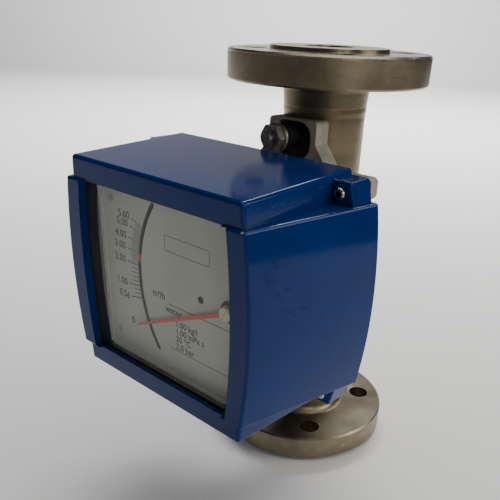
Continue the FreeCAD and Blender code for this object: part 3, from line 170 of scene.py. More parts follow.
class Finish:
    """A material and the nodes behind its main shader."""

    # How sharply a face or an edge stands out from what is round it.
    FACE_SHARPNESS = 5.0
    EDGE_SHARPNESS = 6.0

    def __init__(self, name, **values):
        self.material = bpy.data.materials.new(name)
        self.material.use_nodes = True
        self.tree = self.material.node_tree
        self.shader = self.tree.nodes["Principled BSDF"]
        for socket, value in values.items():
            self.shader.inputs[socket.replace("_", " ")].default_value = value
        self.place = self.add("ShaderNodeTexCoord").outputs["Object"]

    def add(self, kind, **settings):
        node = self.tree.nodes.new(kind)
        for name, value in settings.items():
            setattr(node, name, value)
        return node

    def feed(self, socket, source):
        """Puts a plain value on a socket, or links another node's output to it."""
        if isinstance(source, bpy.types.NodeSocket):
            self.tree.links.new(source, socket)
        else:
            socket.default_value = source

    def drive(self, name, source):
        """Feeds a socket of the main shader."""
        self.feed(self.shader.inputs[name], source)

    def sums(self, operation, first, second=0.0, clamp=False):
        node = self.add("ShaderNodeMath", operation=operation, use_clamp=clamp)
        self.feed(node.inputs[0], first)
        self.feed(node.inputs[1], second)
        return node.outputs[0]

    def rest_of(self, share):
        return self.sums("SUBTRACT", 1.0, share)

    def within(self, source, middle, reach):
        """1 where a number lies within reach of a middle, 0 elsewhere."""
        node = self.add("ShaderNodeMath", operation="COMPARE")
        for socket, value in zip(node.inputs, (source, middle, reach)):
            self.feed(socket, value)
        return node.outputs[0]

    def noise(self, scale, detail=3.0, rough=0.55, along=None, stretch=None):
        """Soft random pattern; scale is the number of patches in a metre."""
        where = along or self.place
        if stretch:
            mapping = self.add("ShaderNodeMapping")
            self.feed(mapping.inputs["Vector"], where)
            mapping.inputs["Scale"].default_value = stretch
            where = mapping.outputs["Vector"]
        node = self.add("ShaderNodeTexNoise")
        self.feed(node.inputs["Vector"], where)
        node.inputs["Scale"].default_value = scale
        node.inputs["Detail"].default_value = detail
        node.inputs["Roughness"].default_value = rough
        return node.outputs["Fac"]

    def ramp(self, source, *stops):
        """Colours or greys along a pattern, each stop as (position, colour)."""
        node = self.add("ShaderNodeValToRGB")
        self.feed(node.inputs["Fac"], source)
        while len(node.color_ramp.elements) < len(stops):
            node.color_ramp.elements.new(0.5)
        for element, (position, colour) in zip(node.color_ramp.elements, stops):
            element.position = position
            shade = colour if isinstance(colour, tuple) else (colour, colour, colour)
            element.color = (*shade, 1.0)
        return node.outputs["Color"]

    def between(self, share, low, high):
        """A number that follows a pattern from low to high."""
        node = self.add("ShaderNodeMapRange")
        self.feed(node.inputs["Value"], share)
        node.inputs["To Min"].default_value = low
        node.inputs["To Max"].default_value = high
        return node.outputs["Result"]

    def over(self, share, under, top, strength=None):
        """One colour laid over another by a share from 0 to 1, or by a part of that share."""
        if strength:
            share = self.sums("MULTIPLY", share, strength)
        node = self.add("ShaderNodeMix", data_type="RGBA")
        self.feed(node.inputs["Factor"], share)
        for socket, colour in (("A", under), ("B", top)):
            self.feed(node.inputs[socket], (*colour, 1.0) if isinstance(colour, tuple) else colour)
        return node.outputs["Result"]

    def layer(self, share, under, top):
        """One shader laid over another by a share from 0 to 1."""
        node = self.add("ShaderNodeMixShader")
        self.feed(node.inputs[0], share)
        self.feed(node.inputs[1], under.outputs[0])
        self.feed(node.inputs[2], top.outputs[0])
        return node

    def relief(self, height, depth, under=None):
        """Small relief; depth is in millimetres."""
        node = self.add("ShaderNodeBump")
        self.feed(node.inputs["Height"], height)
        node.inputs["Distance"].default_value = mm(depth)
        node.inputs["Strength"].default_value = 1.0
        if under:
            self.feed(node.inputs["Normal"], under)
        return node.outputs["Normal"]

    def axis(self, name):
        parts = self.add("ShaderNodeSeparateXYZ")
        self.feed(parts.inputs[0], self.place)
        return parts.outputs[name]

    def off_middle(self):
        """Distance up or down from the cover's middle."""
        return self.sums("ABSOLUTE", self.sums("SUBTRACT", self.axis("Z"), mm(MIDDLE)))

    def rings(self):
        """Distance from the tube's axis and height, for marks that a lathe leaves."""
        flat = self.add("ShaderNodeVectorMath", operation="MULTIPLY")
        self.feed(flat.inputs[0], self.place)
        flat.inputs[1].default_value = (1, 1, 0)
        reach = self.add("ShaderNodeVectorMath", operation="LENGTH")
        self.feed(reach.inputs[0], flat.outputs["Vector"])
        made = self.add("ShaderNodeCombineXYZ")
        self.feed(made.inputs["X"], reach.outputs["Value"])
        self.feed(made.inputs["Z"], self.axis("Z"))
        return made.outputs["Vector"]

    def turned(self, angle):
        """The place, turned about the object's X axis by an angle in degrees."""
        mapping = self.add("ShaderNodeMapping")
        self.feed(mapping.inputs["Vector"], self.place)
        mapping.inputs["Rotation"].default_value = (math.radians(angle), 0, 0)
        return mapping.outputs["Vector"]

    def facing(self, axis, start=0.8):
        """1 on faces square to an axis of the object, 0 on those along it."""
        ground = self.add("ShaderNodeNewGeometry")
        parts = self.add("ShaderNodeSeparateXYZ")
        self.feed(parts.inputs[0], ground.outputs["True Normal"])
        square = self.sums("SUBTRACT", self.sums("ABSOLUTE", parts.outputs[axis]), start)
        return self.sums("MULTIPLY", square, self.FACE_SHARPNESS, clamp=True)

    def near(self, spot, reach):
        """1 at a spot, falling to 0 at a distance from it; both in millimetres."""
        away = self.add("ShaderNodeVectorMath", operation="DISTANCE")
        self.feed(away.inputs[0], self.place)
        away.inputs[1].default_value = [mm(side) for side in spot]
        share = self.sums("DIVIDE", away.outputs["Value"], mm(reach))
        return self.sums("SUBTRACT", 1.0, share, clamp=True)

    def edges(self, width):
        """1 along edges within this width in millimetres, 0 on flat ground."""
        bevel = self.add("ShaderNodeBevel", samples=6)
        bevel.inputs["Radius"].default_value = mm(width)
        ground = self.add("ShaderNodeNewGeometry")
        dot = self.add("ShaderNodeVectorMath", operation="DOT_PRODUCT")
        self.feed(dot.inputs[0], bevel.outputs["Normal"])
        self.feed(dot.inputs[1], ground.outputs["Normal"])
        turned = self.rest_of(dot.outputs["Value"])
        return self.sums("MULTIPLY", turned, self.EDGE_SHARPNESS, clamp=True)


def turned_stainless():
    """Lathe-turned stainless: warm stains, dirt and painted shade on flat faces, bright edges."""
    f = Finish("turned_stainless", Metallic=1.0)
    height = f.axis("Z")
    lines = f.noise(2600, 2.0, along=f.rings())
    stains = f.noise(38, 5.0, 0.6)
    # Where the flanges are clean with a painted highlight, darkened by dirt and painted shade,
    # in painted shade underneath, blotched and tinted.
    clean_lit_top = f.sums("GREATER_THAN", height, mm(UPPER_FACE))
    dirt_and_shade_faces = f.sums("SUBTRACT", f.facing("Z"), clean_lit_top, clamp=True)
    painted_shade_below = f.sums("MULTIPLY", dirt_and_shade_faces, f.sums("GREATER_THAN", height, mm(UPPER_BACK)))
    rim = f.sums("MULTIPLY", f.rest_of(dirt_and_shade_faces), f.sums("LESS_THAN", height, mm(LOWER_BACK)))
    blotch = f.ramp(f.noise(150, 5.0, 0.7), (0.55, 0.0), (0.72, 0.5))
    hub = f.within(height, mm(HUB_MIDDLE), mm(HUB_REACH))
    warm = f.ramp(stains, (0.3, (0.19, 0.155, 0.098)), (0.5, (0.28, 0.236, 0.158)),
                  (0.72, (0.36, 0.315, 0.225)))
    dirt_and_painted_shade = f.ramp(stains, (0.3, (0.055, 0.045, 0.032)), (0.7, (0.13, 0.113, 0.085)))
    metal = f.over(f.between(lines, 0.0, 0.25), warm, (0.10, 0.081, 0.052))
    # Painted highlight: the clean top of the upper flange is lightened.
    metal = f.over(clean_lit_top, metal, (0.62, 0.56, 0.45), 0.25)
    metal = f.over(f.sums("MULTIPLY", blotch, rim), metal, (0.44, 0.40, 0.31))
    metal = f.over(hub, metal, (0.075, 0.06, 0.036), 0.48)
    # Flat faces darkened by dirt and by painted shade.
    metal = f.over(dirt_and_shade_faces, metal, dirt_and_painted_shade, 0.92)
    # Painted shade darkens the underside of the upper flange.
    metal = f.over(painted_shade_below, metal, (0.03, 0.025, 0.018), 0.8)
    f.drive("Base Color", f.over(f.edges(0.6), metal, (0.62, 0.57, 0.47), 0.55))
    rough = f.sums("ADD", f.between(stains, 0.26, 0.44), f.between(lines, -0.04, 0.06))
    rough = f.sums("SUBTRACT", rough, f.sums("MULTIPLY", clean_lit_top, 0.1))
    f.drive("Roughness", f.sums("ADD", rough, f.sums("MULTIPLY", dirt_and_shade_faces, 0.06)))
    f.drive("Normal", f.relief(f.noise(900, 3.0), 0.04, f.relief(lines, 0.06)))
    return f.material


def tube_stainless():
    """Drawn tube with faint lengthwise streaks and stains round it."""
    f = Finish("tube_stainless", Metallic=1.0)
    streaks = f.noise(240, 3.0, stretch=(1, 1, 0.06))
    bands = f.noise(60, 3.0, stretch=(0.15, 0.15, 1))
    warm = f.ramp(bands, (0.3, (0.17, 0.136, 0.082)), (0.55, (0.26, 0.215, 0.138)),
                  (0.75, (0.31, 0.264, 0.18)))
    f.drive("Base Color", f.over(f.between(streaks, 0.0, 0.3), warm, (0.13, 0.103, 0.062)))
    f.drive("Roughness", f.between(streaks, 0.3, 0.46))
    f.drive("Normal", f.relief(f.noise(1200, 3.0), 0.03))
    return f.material


def blue_paint():
    """Thick glossy paint on a casting, chipped at a few edges, with painted glints on corners,
    scuffed, and with painted shade inside.
    """
    f = Finish("blue_paint", Specular_IOR_Level=0.245)
    cloud = f.noise(25, 3.0)
    tone = f.ramp(cloud, (0.3, (0.0, 0.0205, 0.135)), (0.7, (0.0, 0.027, 0.17)))
    ragged = f.sums("MULTIPLY", f.noise(900, 3.0), 0.9)
    bare = f.ramp(f.noise(95, 4.0), (0.70, 0.0), (0.73, 1.0))
    chips_and_glints = f.sums("MULTIPLY", f.edges(0.6), bare, clamp=True)
    # Pale spots on corners: chipped paint, and painted highlights as glints on the corners.
    for spot, reach in CHIPS_AND_GLINTS:
        pale_spot = f.sums("GREATER_THAN", f.sums("ADD", f.near(spot, reach), ragged), 0.95)
        chips_and_glints = f.sums("MAXIMUM", chips_and_glints, pale_spot)
    # Painted shade: the cover's hollow is painted near black inside.
    inside = f.sums("GREATER_THAN", f.axis("Y"), mm(-INNER_FRONT))
    for distance, limit in ((f.sums("ABSOLUTE", f.axis("X")), INNER_SIDE),
                            (f.off_middle(), INNER_END)):
        inside = f.sums("MULTIPLY", inside, f.sums("LESS_THAN", distance, mm(limit)))
    patches = 0.0
    for spot, reach in SCUFFS:
        patches = f.sums("MAXIMUM", f.near(spot, reach), patches)
    drawn = f.noise(190, 2.0, 0.5, along=f.turned(SCUFF_SLOPE), stretch=(1, 0.3, 2.0))
    strokes = f.ramp(drawn, (0.465, 0.0), (0.5, 1.0), (0.535, 0.0))
    broken = f.ramp(f.noise(130, 2.0), (0.40, 0.0), (0.54, 1.0))
    scuffs = f.sums("MULTIPLY", f.sums("MULTIPLY", strokes, broken),
                    f.sums("MULTIPLY", patches, 2.2, clamp=True))
    coat = f.over(scuffs, tone, (0.0, 0.006, 0.035), 0.65)
    # Painted shade: near black inside the hollow.
    coat = f.over(inside, coat, (0.014, 0.014, 0.015))
    # Pale chips and painted glints laid over the coat.
    f.drive("Base Color", f.over(chips_and_glints, coat, (0.42, 0.43, 0.43)))
    gloss = f.sums("SUBTRACT", f.between(cloud, 0.08, 0.15), f.sums("MULTIPLY", inside, 0.04))
    f.drive("Roughness", f.sums("ADD", gloss, f.sums("MULTIPLY", chips_and_glints, 0.3)))
    f.drive("Normal", f.relief(scuffs, 0.06, f.relief(f.noise(420, 1.0), 0.03)))
    return f.material


def grey_paint():
    """Light grey paint on the casting behind the cover, a little dirty, painted shade in hollows.
    """
    f = Finish("grey_paint")
    dirt = f.noise(70, 5.0, 0.65)
    cast = f.ramp(dirt, (0.3, (0.24, 0.228, 0.185)), (0.5, (0.36, 0.346, 0.29)),
                  (0.8, (0.42, 0.408, 0.35)))
    behind = f.sums("GREATER_THAN", f.axis("Y"), mm(-SEAT_RIM))
    # Painted shade: faces behind the rim that look along Y are painted near black.
    painted_shade_hollow = f.sums("MULTIPLY", f.facing("Y", 0.5), behind)
    f.drive("Base Color", f.over(painted_shade_hollow, cast, (0.02, 0.0195, 0.018)))
    f.drive("Roughness", f.between(dirt, 0.62, 0.42))
    f.drive("Normal", f.relief(f.noise(700, 3.0), 0.08))
    return f.material


def black_rubber():
    """Rubber of the buffers and gaskets, with a little dust."""
    f = Finish("black_rubber", Specular_IOR_Level=0.2)
    dust = f.noise(160, 4.0)
    f.drive("Base Color", f.ramp(dust, (0.4, (0.004, 0.004, 0.0045)),
                                 (0.85, (0.016, 0.0158, 0.015))))
    f.drive("Roughness", f.between(dust, 0.48, 0.72))
    f.drive("Normal", f.relief(f.noise(2200, 2.0), 0.04))
    return f.material


def dark_steel():
    """Oxidised steel of the nuts and washers, brighter at worn edges."""
    f = Finish("dark_steel", Metallic=1.0)
    rust = f.noise(330, 5.0, 0.65)
    tone = f.ramp(rust, (0.3, (0.22, 0.18, 0.145)), (0.5, (0.40, 0.37, 0.34)),
                  (0.75, (0.55, 0.53, 0.50)))
    f.drive("Base Color", f.over(f.edges(0.4), tone, (0.8, 0.77, 0.72), 0.7))
    f.drive("Roughness", f.between(rust, 0.52, 0.28))
    f.drive("Normal", f.relief(rust, 0.06))
    return f.material


def stud_steel():
    """Dark studs: painted shade along the thread, painted highlights on the end and its rim."""
    f = Finish("stud_steel", Metallic=1.0)
    rust = f.noise(330, 5.0, 0.65)
    # Painted shade: the stud's sides and thread are near black.
    thread_painted_shade = f.ramp(rust, (0.3, (0.018, 0.015, 0.012)), (0.75, (0.05, 0.045, 0.04)))
    # Painted highlight: the end face is lighter.
    end = f.ramp(rust, (0.3, (0.34, 0.31, 0.28)), (0.75, (0.55, 0.53, 0.5)))
    shade_and_highlight = f.over(f.facing("Y", 0.6), thread_painted_shade, end)
    # Painted highlights along the edges.
    f.drive("Base Color", f.over(f.edges(0.5), shade_and_highlight, (0.85, 0.82, 0.78), 0.8))
    f.drive("Roughness", f.between(rust, 0.55, 0.36))
    f.drive("Normal", f.relief(rust, 0.05))
    return f.material


def bright_steel():
    """Zinc-plated screws."""
    f = Finish("bright_steel", Metallic=1.0)
    film = f.noise(500, 3.0)
    f.drive("Base Color", f.ramp(film, (0.3, (0.46, 0.45, 0.43)), (0.7, (0.66, 0.65, 0.62))))
    f.drive("Roughness", f.between(film, 0.14, 0.3))
    f.drive("Normal", f.relief(f.noise(3000, 2.0), 0.01))
    return f.material


def socket_steel():
    """Plated button heads with painted shade in their sockets."""
    f = Finish("socket_steel", Metallic=1.0)
    film = f.noise(500, 3.0)
    across = f.sums("SUBTRACT", f.sums("ABSOLUTE", f.axis("X")), mm(COVER_SCREW[0]))
    above = f.sums("SUBTRACT", f.off_middle(), mm(COVER_SCREW[1]))
    squares = [f.sums("MULTIPLY", side, side) for side in (across, above)]
    # Painted shade: the socket in each head is painted near black.
    socket = f.sums("LESS_THAN", f.sums("SQRT", f.sums("ADD", *squares)), mm(SOCKET_REACH))
    tone = f.ramp(film, (0.3, (0.46, 0.45, 0.43)), (0.7, (0.66, 0.65, 0.62)))
    f.drive("Base Color", f.over(socket, tone, (0.022, 0.021, 0.02)))
    f.drive("Roughness", f.sums("ADD", f.between(film, 0.14, 0.3),
                                f.sums("MULTIPLY", socket, 0.4)))
    f.drive("Normal", f.relief(f.noise(3000, 2.0), 0.01))
    return f.material


def satin_zinc():
    """Dull plating on the dial's small screws."""
    f = Finish("satin_zinc", Metallic=0.3)
    film = f.noise(600, 3.0)
    f.drive("Base Color", f.ramp(film, (0.3, (0.40, 0.40, 0.385)), (0.7, (0.50, 0.50, 0.48))))
    f.drive("Roughness", f.between(film, 0.42, 0.58))
    f.drive("Normal", f.relief(film, 0.01))
    return f.material


def mill_aluminium():
    """Rolled sheet and bar, with a fine grain from side to side."""
    f = Finish("mill_aluminium", Metallic=1.0)
    grain = f.noise(900, 2.0, stretch=(0.04, 1, 1))
    f.drive("Base Color", f.ramp(grain, (0.3, (0.50, 0.50, 0.50)), (0.7, (0.62, 0.62, 0.61))))
    f.drive("Roughness", f.between(grain, 0.3, 0.48))
    f.drive("Normal", f.relief(grain, 0.02))
    return f.material


def turned_brass():
    """Brass of the bearings and the counterweight, a little tarnished."""
    f = Finish("turned_brass", Metallic=1.0)
    film = f.noise(420, 4.0)
    f.drive("Base Color", f.ramp(film, (0.3, (0.50, 0.34, 0.12)), (0.7, (0.66, 0.49, 0.22))))
    f.drive("Roughness", f.between(film, 0.24, 0.4))
    f.drive("Normal", f.relief(f.noise(2500, 2.0), 0.01))
    return f.material


def ground_magnet():
    """Dark sintered magnets with a ground surface."""
    f = Finish("ground_magnet", Metallic=0.8)
    grain = f.noise(1500, 3.0)
    f.drive("Base Color", f.ramp(grain, (0.35, (0.07, 0.07, 0.075)), (0.7, (0.15, 0.15, 0.155))))
    f.drive("Roughness", f.between(grain, 0.4, 0.55))
    f.drive("Normal", f.relief(grain, 0.02))
    return f.material


def dial_paint():
    """Off-white plate, yellowed and smeared by age, with painted shade on the walls of its slot.
    """
    f = Finish("dial_paint", Specular_IOR_Level=0.3)
    age = f.noise(26, 4.0, 0.6)
    smear = f.noise(80, 3.0, stretch=(0.25, 1, 1.4))
    tone = f.ramp(age, (0.3, (0.57, 0.565, 0.485)), (0.7, (0.69, 0.682, 0.605)))
    plate = f.over(f.ramp(smear, (0.62, 0.0), (0.82, 0.35)), tone, (0.34, 0.335, 0.29))
    round_axis = f.near((POINTER_AXIS[0], -DIAL_FACE, POINTER_AXIS[1]), SLOT_REACH)
    # Painted shade on the slot's walls near the pointer's axis.
    slot_painted_shade = f.sums("MULTIPLY", f.sums("GREATER_THAN", round_axis, 0.0),
                  f.rest_of(f.facing("Y", 0.3)))
    f.drive("Base Color", f.over(slot_painted_shade, plate, (0.035, 0.034, 0.03)))
    f.drive("Roughness", f.between(smear, 0.5, 0.66))
    f.drive("Normal", f.relief(f.noise(2600, 2.0), 0.008))
    return f.material


def red_paint():
    """Signal red with a dark tip on the pointer."""
    f = Finish("red_paint", Specular_IOR_Level=0.35)
    fade = f.noise(300, 3.0)
    tone = f.ramp(fade, (0.3, (0.84, 0.052, 0.02)), (0.7, (0.95, 0.08, 0.035)))
    tip = f.sums("MULTIPLY", f.sums("LESS_THAN", f.axis("X"), mm(TIP_SIDE)),
                 f.sums("LESS_THAN", f.axis("Z"), mm(TIP_TOP)))
    f.drive("Base Color", f.over(tip, tone, (0.05, 0.03, 0.025)))
    f.drive("Roughness", f.between(fade, 0.42, 0.56))
    f.drive("Normal", f.relief(f.noise(2400, 2.0), 0.01))
    return f.material


def ivory_plastic():
    """Slightly translucent plastic of the pointer's hub."""
    f = Finish("ivory_plastic", Subsurface_Weight=0.08,
               Subsurface_Radius=(0.001, 0.0008, 0.0004))
    tone = f.noise(400, 3.0)
    f.drive("Base Color", f.ramp(tone, (0.3, (0.87, 0.78, 0.52)), (0.7, (0.96, 0.89, 0.66))))
    f.drive("Roughness", f.between(tone, 0.36, 0.5))
    f.drive("Normal", f.relief(f.noise(1800, 2.0), 0.01))
    return f.material


def window_pane():
    """Clear pane with a thin film of dust, mirroring on its outer side only."""
    f = Finish("window_pane")
    f.tree.nodes.remove(f.shader)
    clear = f.add("ShaderNodeBsdfTransparent")
    clear.inputs["Color"].default_value = (0.93, 0.95, 0.94, 1)
    mirror = f.add("ShaderNodeBsdfGlossy")
    mirror.inputs["Color"].default_value = (1, 1, 1, 1)
    f.feed(mirror.inputs["Roughness"], f.between(f.noise(60, 3.0), 0.01, 0.06))
    dust = f.add("ShaderNodeBsdfDiffuse")
    dust.inputs["Color"].default_value = (0.6, 0.6, 0.56, 1)
    gloss = f.add("ShaderNodeFresnel")
    gloss.inputs["IOR"].default_value = 1.48
    outer = f.rest_of(f.add("ShaderNodeNewGeometry").outputs["Backfacing"])
    pane = f.layer(f.sums("MULTIPLY", gloss.outputs[0], outer), clear, mirror)
    film = f.layer(f.between(f.noise(140, 4.0), 0.0, 0.05), pane, dust)
    f.feed(f.tree.nodes["Material Output"].inputs["Surface"], film.outputs[0])
    return f.material


def ink(name, dark, light):
    """Printing ink, a little uneven."""
    f = Finish(name, Specular_IOR_Level=0.3)
    cover = f.noise(700, 3.0)
    f.drive("Base Color", f.ramp(cover, (0.3, dark), (0.75, light)))
    f.drive("Roughness", f.between(cover, 0.45, 0.6))
    return f.material


def pale_paper():
    """Matt paper of the floor."""
    f = Finish("pale_paper", Roughness=0.9)
    f.drive("Base Color", f.ramp(f.noise(300, 3.0), (0.3, (0.91, 0.91, 0.905)),
                                 (0.7, (0.94, 0.94, 0.935))))
    return f.material


STEEL = bright_steel()
BLACK_INK = ink("black_ink", (0.012, 0.012, 0.011), (0.028, 0.027, 0.024))
GREY_INK = ink("grey_ink", (0.022, 0.022, 0.02), (0.045, 0.044, 0.04))
FINISHES = [
    (turned_stainless(), ("lower_flange", "upper_flange", "lower_guide", "upper_guide",
                          "lower_guide_ring", "upper_guide_ring", "float_body", "float_rod")),
    (tube_stainless(), ("measuring_tube",)),
    (blue_paint(), ("front_cover",)),
    (grey_paint(), ("indicator_base",)),
    (black_rubber(), ("rubber_buffers", "cover_gasket", "window_gasket")),
    (dark_steel(), ("buffer_washers", "mounting_nuts")),
    (stud_steel(), ("mounting_studs",)),
    (STEEL, ("retainer_screws", "bracket_screws", "pointer_shaft")),
    (socket_steel(), ("cover_screws",)),
    (satin_zinc(), ("dial_screws",)),
    (mill_aluminium(), ("retainer_strips", "dial_posts", "bearing_bracket", "follower_arm",
                        "magnet_post", "limit_arm")),
    (turned_brass(), ("front_bearing", "rear_bearing", "counterweight")),
    (ground_magnet(), ("float_magnet", "follower_magnet")),
    (dial_paint(), ("dial_plate",)),
    (red_paint(), ("pointer", "limit_marker")),
    (ivory_plastic(), ("pointer_hub",)),
    (window_pane(), ("window_glass",)),
]


def dress(piece, material):
    piece.data.materials.clear()
    piece.data.materials.append(material)


# Hands

def rest_hands():
    """Nothing selected."""
    bpy.ops.object.select_all(action="DESELECT")


def settle(piece):
    """Puts the piece's place into its mesh."""
    rest_hands()
    piece.select_set(True)
    bpy.context.view_layer.objects.active = piece
    bpy.ops.object.transform_apply(location=True, rotation=True, scale=True)
    return piece


def turn_outward():
    """Faces of the mesh being edited point outwards, and the edit ends."""
    bpy.ops.mesh.select_all(action="SELECT")
    bpy.ops.mesh.normals_make_consistent(inside=False)
    bpy.ops.object.mode_set(mode="OBJECT")


def gather(name, made, material):
    """Joins pieces into one object that rides on the meter."""
    rest_hands()
    for piece in made:
        piece.select_set(True)
    bpy.context.view_layer.objects.active = made[0]
    bpy.ops.object.join()
    piece = bpy.context.object
    piece.name = name
    piece.data.name = name
    dress(piece, material)
    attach(piece, "meter")


# Print on the dial

def printed_line(x, z, length, width, tilt=0.0):
    """A line of ink on the dial: a plane pulled out to the ink's thickness."""
    rest_hands()
    bpy.ops.mesh.primitive_plane_add(size=1, location=(mm(x), mm(-DIAL_FACE), mm(z)),
                                     rotation=(math.pi / 2, tilt, 0))
    piece = bpy.context.object
    piece.scale = (mm(length), mm(width), 1)
    settle(piece)
    bpy.ops.object.mode_set(mode="EDIT")
    bpy.ops.mesh.select_all(action="SELECT")
    bpy.ops.mesh.extrude_region_move(TRANSFORM_OT_translate={"value": (0, mm(-INK), 0)})
    turn_outward()
    return piece


def printed_word(words, x, z, height, align, weight):
    """Words or figures in ink, their figures as tall as the height says."""
    rest_hands()
    bpy.ops.object.text_add(location=(mm(x), mm(-DIAL_FACE) - mm(INK) / 2, mm(z)),
                            rotation=(math.pi / 2, 0, 0))
    piece = bpy.context.object
    piece.data.body = words
    piece.data.size = mm(height) / FIGURE_SHARE
    piece.data.align_x = align
    piece.data.align_y = "CENTER"
    piece.data.extrude = mm(INK) / 2
    piece.data.offset = mm(weight)
    piece.data.resolution_u = LETTER_STEPS
    bpy.ops.object.convert(target="MESH")
    return settle(bpy.context.object)


def round_pointer(angle, reach):
    """Where a ray from the pointer's axis has come to, as x and z."""
    tilt = math.radians(angle)
    return POINTER_AXIS[0] - reach * math.cos(tilt), POINTER_AXIS[1] + reach * math.sin(tilt)


def scale_mark(angle, end, width):
    """A line of the scale, from beside the slot outwards."""
    x, z = round_pointer(angle, (MARK_START + end) / 2)
    return printed_line(x, z, end - MARK_START, width, math.radians(angle))


def dial_scale():
    marks = []
    figures = []
    for number, angle in SCALE:
        marks.append(scale_mark(angle, LONG_MARK_END, LONG_MARK_WIDTH))
        x, z = round_pointer(angle, FIGURE_START)
        figures.append(printed_word(f"{number:.2f}", x, z, FIGURE_HEIGHT, "RIGHT", FIGURE_WEIGHT))
    for (_, high), (_, low), parts in zip(SCALE, SCALE[1:], PARTS_BETWEEN):
        for step in range(1, parts):
            angle = high + (low - high) * step / parts
            marks.append(scale_mark(angle, SHORT_MARK_END, SHORT_MARK_WIDTH))
    gather("scale_marks", marks, BLACK_INK)
    gather("scale_figures", figures, GREY_INK)


def dial_legend():
    lines = [printed_line(x, z, length, RULE_WIDTH) for x, z, length in RULES]
    left, right = BOX_SIDES
    bottom, top = BOX_ENDS
    lines += [printed_line((left + right) / 2, z, right - left, BOX_LINE) for z in BOX_ENDS]
    lines += [printed_line(x, (bottom + top) / 2, top - bottom, BOX_LINE, math.pi / 2)
              for x in BOX_SIDES]
    gather("dial_rules", lines, GREY_INK)
    words = [printed_word(*word, WORD_WEIGHT) for word in WORDS]
    gather("dial_words", words, BLACK_INK)


# Threads on the ends of the studs

def stud_thread(height):
    """A ridge wound round a stud, drawn as a sharp outline and turned with a rise."""
    rest_hands()
    bpy.ops.mesh.primitive_plane_add(size=1, location=(0, 0, 0))
    piece = bpy.context.object
    foot = mm(THREAD_PITCH) * THREAD_FOOT
    root, crest = mm(THREAD_ROOT), mm(THREAD_CREST)
    corners = [(root, 0, -foot), (crest, 0, -foot * THREAD_FLAT),
               (root, 0, foot), (crest, 0, foot * THREAD_FLAT)]
    for corner, place in zip(piece.data.vertices, corners):
        corner.co = place
    rise = piece.modifiers.new("rise", "SCREW")
    rise.axis = "Z"
    rise.angle = math.tau * THREAD_TURNS
    rise.screw_offset = mm(THREAD_PITCH) * THREAD_TURNS
    rise.steps = rise.render_steps = THREAD_STEPS
    rise.use_merge_vertices = False
    bpy.ops.object.modifier_apply(modifier="rise")
    piece.rotation_euler = (math.pi / 2, 0, 0)
    piece.location = (0, mm(-THREAD_START), mm(height))
    settle(piece)
    bpy.ops.object.mode_set(mode="EDIT")
    bpy.ops.mesh.select_all(action="SELECT")
    bpy.ops.mesh.fill_holes(sides=8)
    turn_outward()
    bpy.ops.object.shade_smooth_by_angle(angle=math.radians(THREAD_SMOOTH))
    return piece


# Floor, light and camera

def pick_edges(piece, wanted):
    """Selects the edges of a mesh being edited whose two ends pass a test of their place."""
    bpy.ops.mesh.select_all(action="DESELECT")
    bpy.ops.object.mode_set(mode="OBJECT")
    for edge in piece.data.edges:
        edge.select = all(wanted(piece.data.vertices[end].co) for end in edge.vertices)
    bpy.ops.object.mode_set(mode="EDIT")


def photo_sweep():
    """Pale floor that bends up behind the object."""
    rest_hands()
    bpy.ops.mesh.primitive_plane_add(size=SWEEP_SIZE, location=(0, 0, 0))
    sweep = bpy.context.object
    sweep.name = "photo_sweep"
    for corner in sweep.data.vertices:
        corner.co.x = min(corner.co.x, SWEEP_RIGHT[corner.co.y > 0])
    bpy.ops.object.mode_set(mode="EDIT")
    bpy.ops.mesh.select_mode(type="EDGE")
    pick_edges(sweep, lambda place: place.y > SWEEP_BACK)
    bpy.ops.mesh.extrude_region_move(TRANSFORM_OT_translate={"value": (0, 0, SWEEP_WALL)})
    pick_edges(sweep, lambda place: place.y > SWEEP_BACK and place.z < SWEEP_FOOT)
    bpy.ops.mesh.bevel(offset=SWEEP_BEND, segments=SWEEP_STEPS)
    bpy.ops.object.mode_set(mode="OBJECT")
    bpy.ops.object.shade_smooth()
    sweep.rotation_euler = (0, 0, math.radians(SWEEP_TURN))
    dress(sweep, pale_paper())


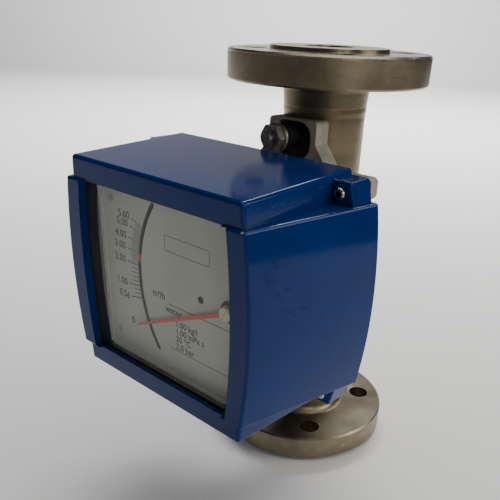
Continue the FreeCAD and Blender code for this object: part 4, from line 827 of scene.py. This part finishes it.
def soft_light(name, place, target, size, power, colour):
    bpy.ops.object.light_add(type="AREA", location=place)
    lamp = bpy.context.object
    lamp.name = name
    lamp.data.shape = "RECTANGLE"
    lamp.data.size, lamp.data.size_y = size
    lamp.data.energy = power
    lamp.data.color = colour
    aim = Vector(target) - Vector(place)
    lamp.rotation_euler = aim.to_track_quat("-Z", "Y").to_euler()


def studio_air():
    """Faint light from all round, and past the paper a pale backdrop that lights nothing."""
    world = bpy.data.worlds.new("studio_air")
    bpy.context.scene.world = world
    world.use_nodes = True
    air = world.node_tree
    ambient = air.nodes["Background"]
    ambient.inputs["Color"].default_value = AMBIENT_COLOUR
    ambient.inputs["Strength"].default_value = AMBIENT_STRENGTH
    backdrop = air.nodes.new("ShaderNodeBackground")
    backdrop.inputs["Color"].default_value = BACKDROP_COLOUR
    seen = air.nodes.new("ShaderNodeLightPath")
    either = air.nodes.new("ShaderNodeMixShader")
    air.links.new(seen.outputs["Is Camera Ray"], either.inputs[0])
    air.links.new(ambient.outputs[0], either.inputs[1])
    air.links.new(backdrop.outputs[0], either.inputs[2])
    air.links.new(either.outputs[0], air.nodes["World Output"].inputs["Surface"])


def camera():
    """The photograph's view, with its turn, tilt, roll and framing."""
    turn, tilt, roll = (math.radians(angle) for angle in VIEW_ANGLES)
    back = Vector((math.sin(turn) * math.cos(tilt), -math.cos(turn) * math.cos(tilt),
                   math.sin(tilt)))
    right = Vector((0, 0, 1)).cross(back).normalized()
    up = back.cross(right)
    side = right * math.cos(roll) + up * math.sin(roll)
    top = up * math.cos(roll) - right * math.sin(roll)
    lens = bpy.data.cameras.new("camera")
    lens.sensor_width = SENSOR_WIDTH
    lens.lens = FOCAL_LENGTH
    lens.shift_x, lens.shift_y = FRAME_SHIFT
    lens.clip_start, lens.clip_end = CLIP_RANGE
    eye = bpy.data.objects.new("camera", lens)
    bpy.context.scene.collection.objects.link(eye)
    turned = Matrix((side, top, back)).transposed().to_4x4()
    eye.matrix_world = Matrix.Translation(EYE_PLACE) @ turned
    bpy.context.scene.camera = eye


for finish, names in FINISHES:
    for name in names:
        dress(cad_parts[name], finish)
dial_scale()
dial_legend()
gather("stud_threads", [stud_thread(height) for height in STUD_HEIGHTS], STEEL)
photo_sweep()
for light in LIGHTS:
    soft_light(*light)
studio_air()
camera()
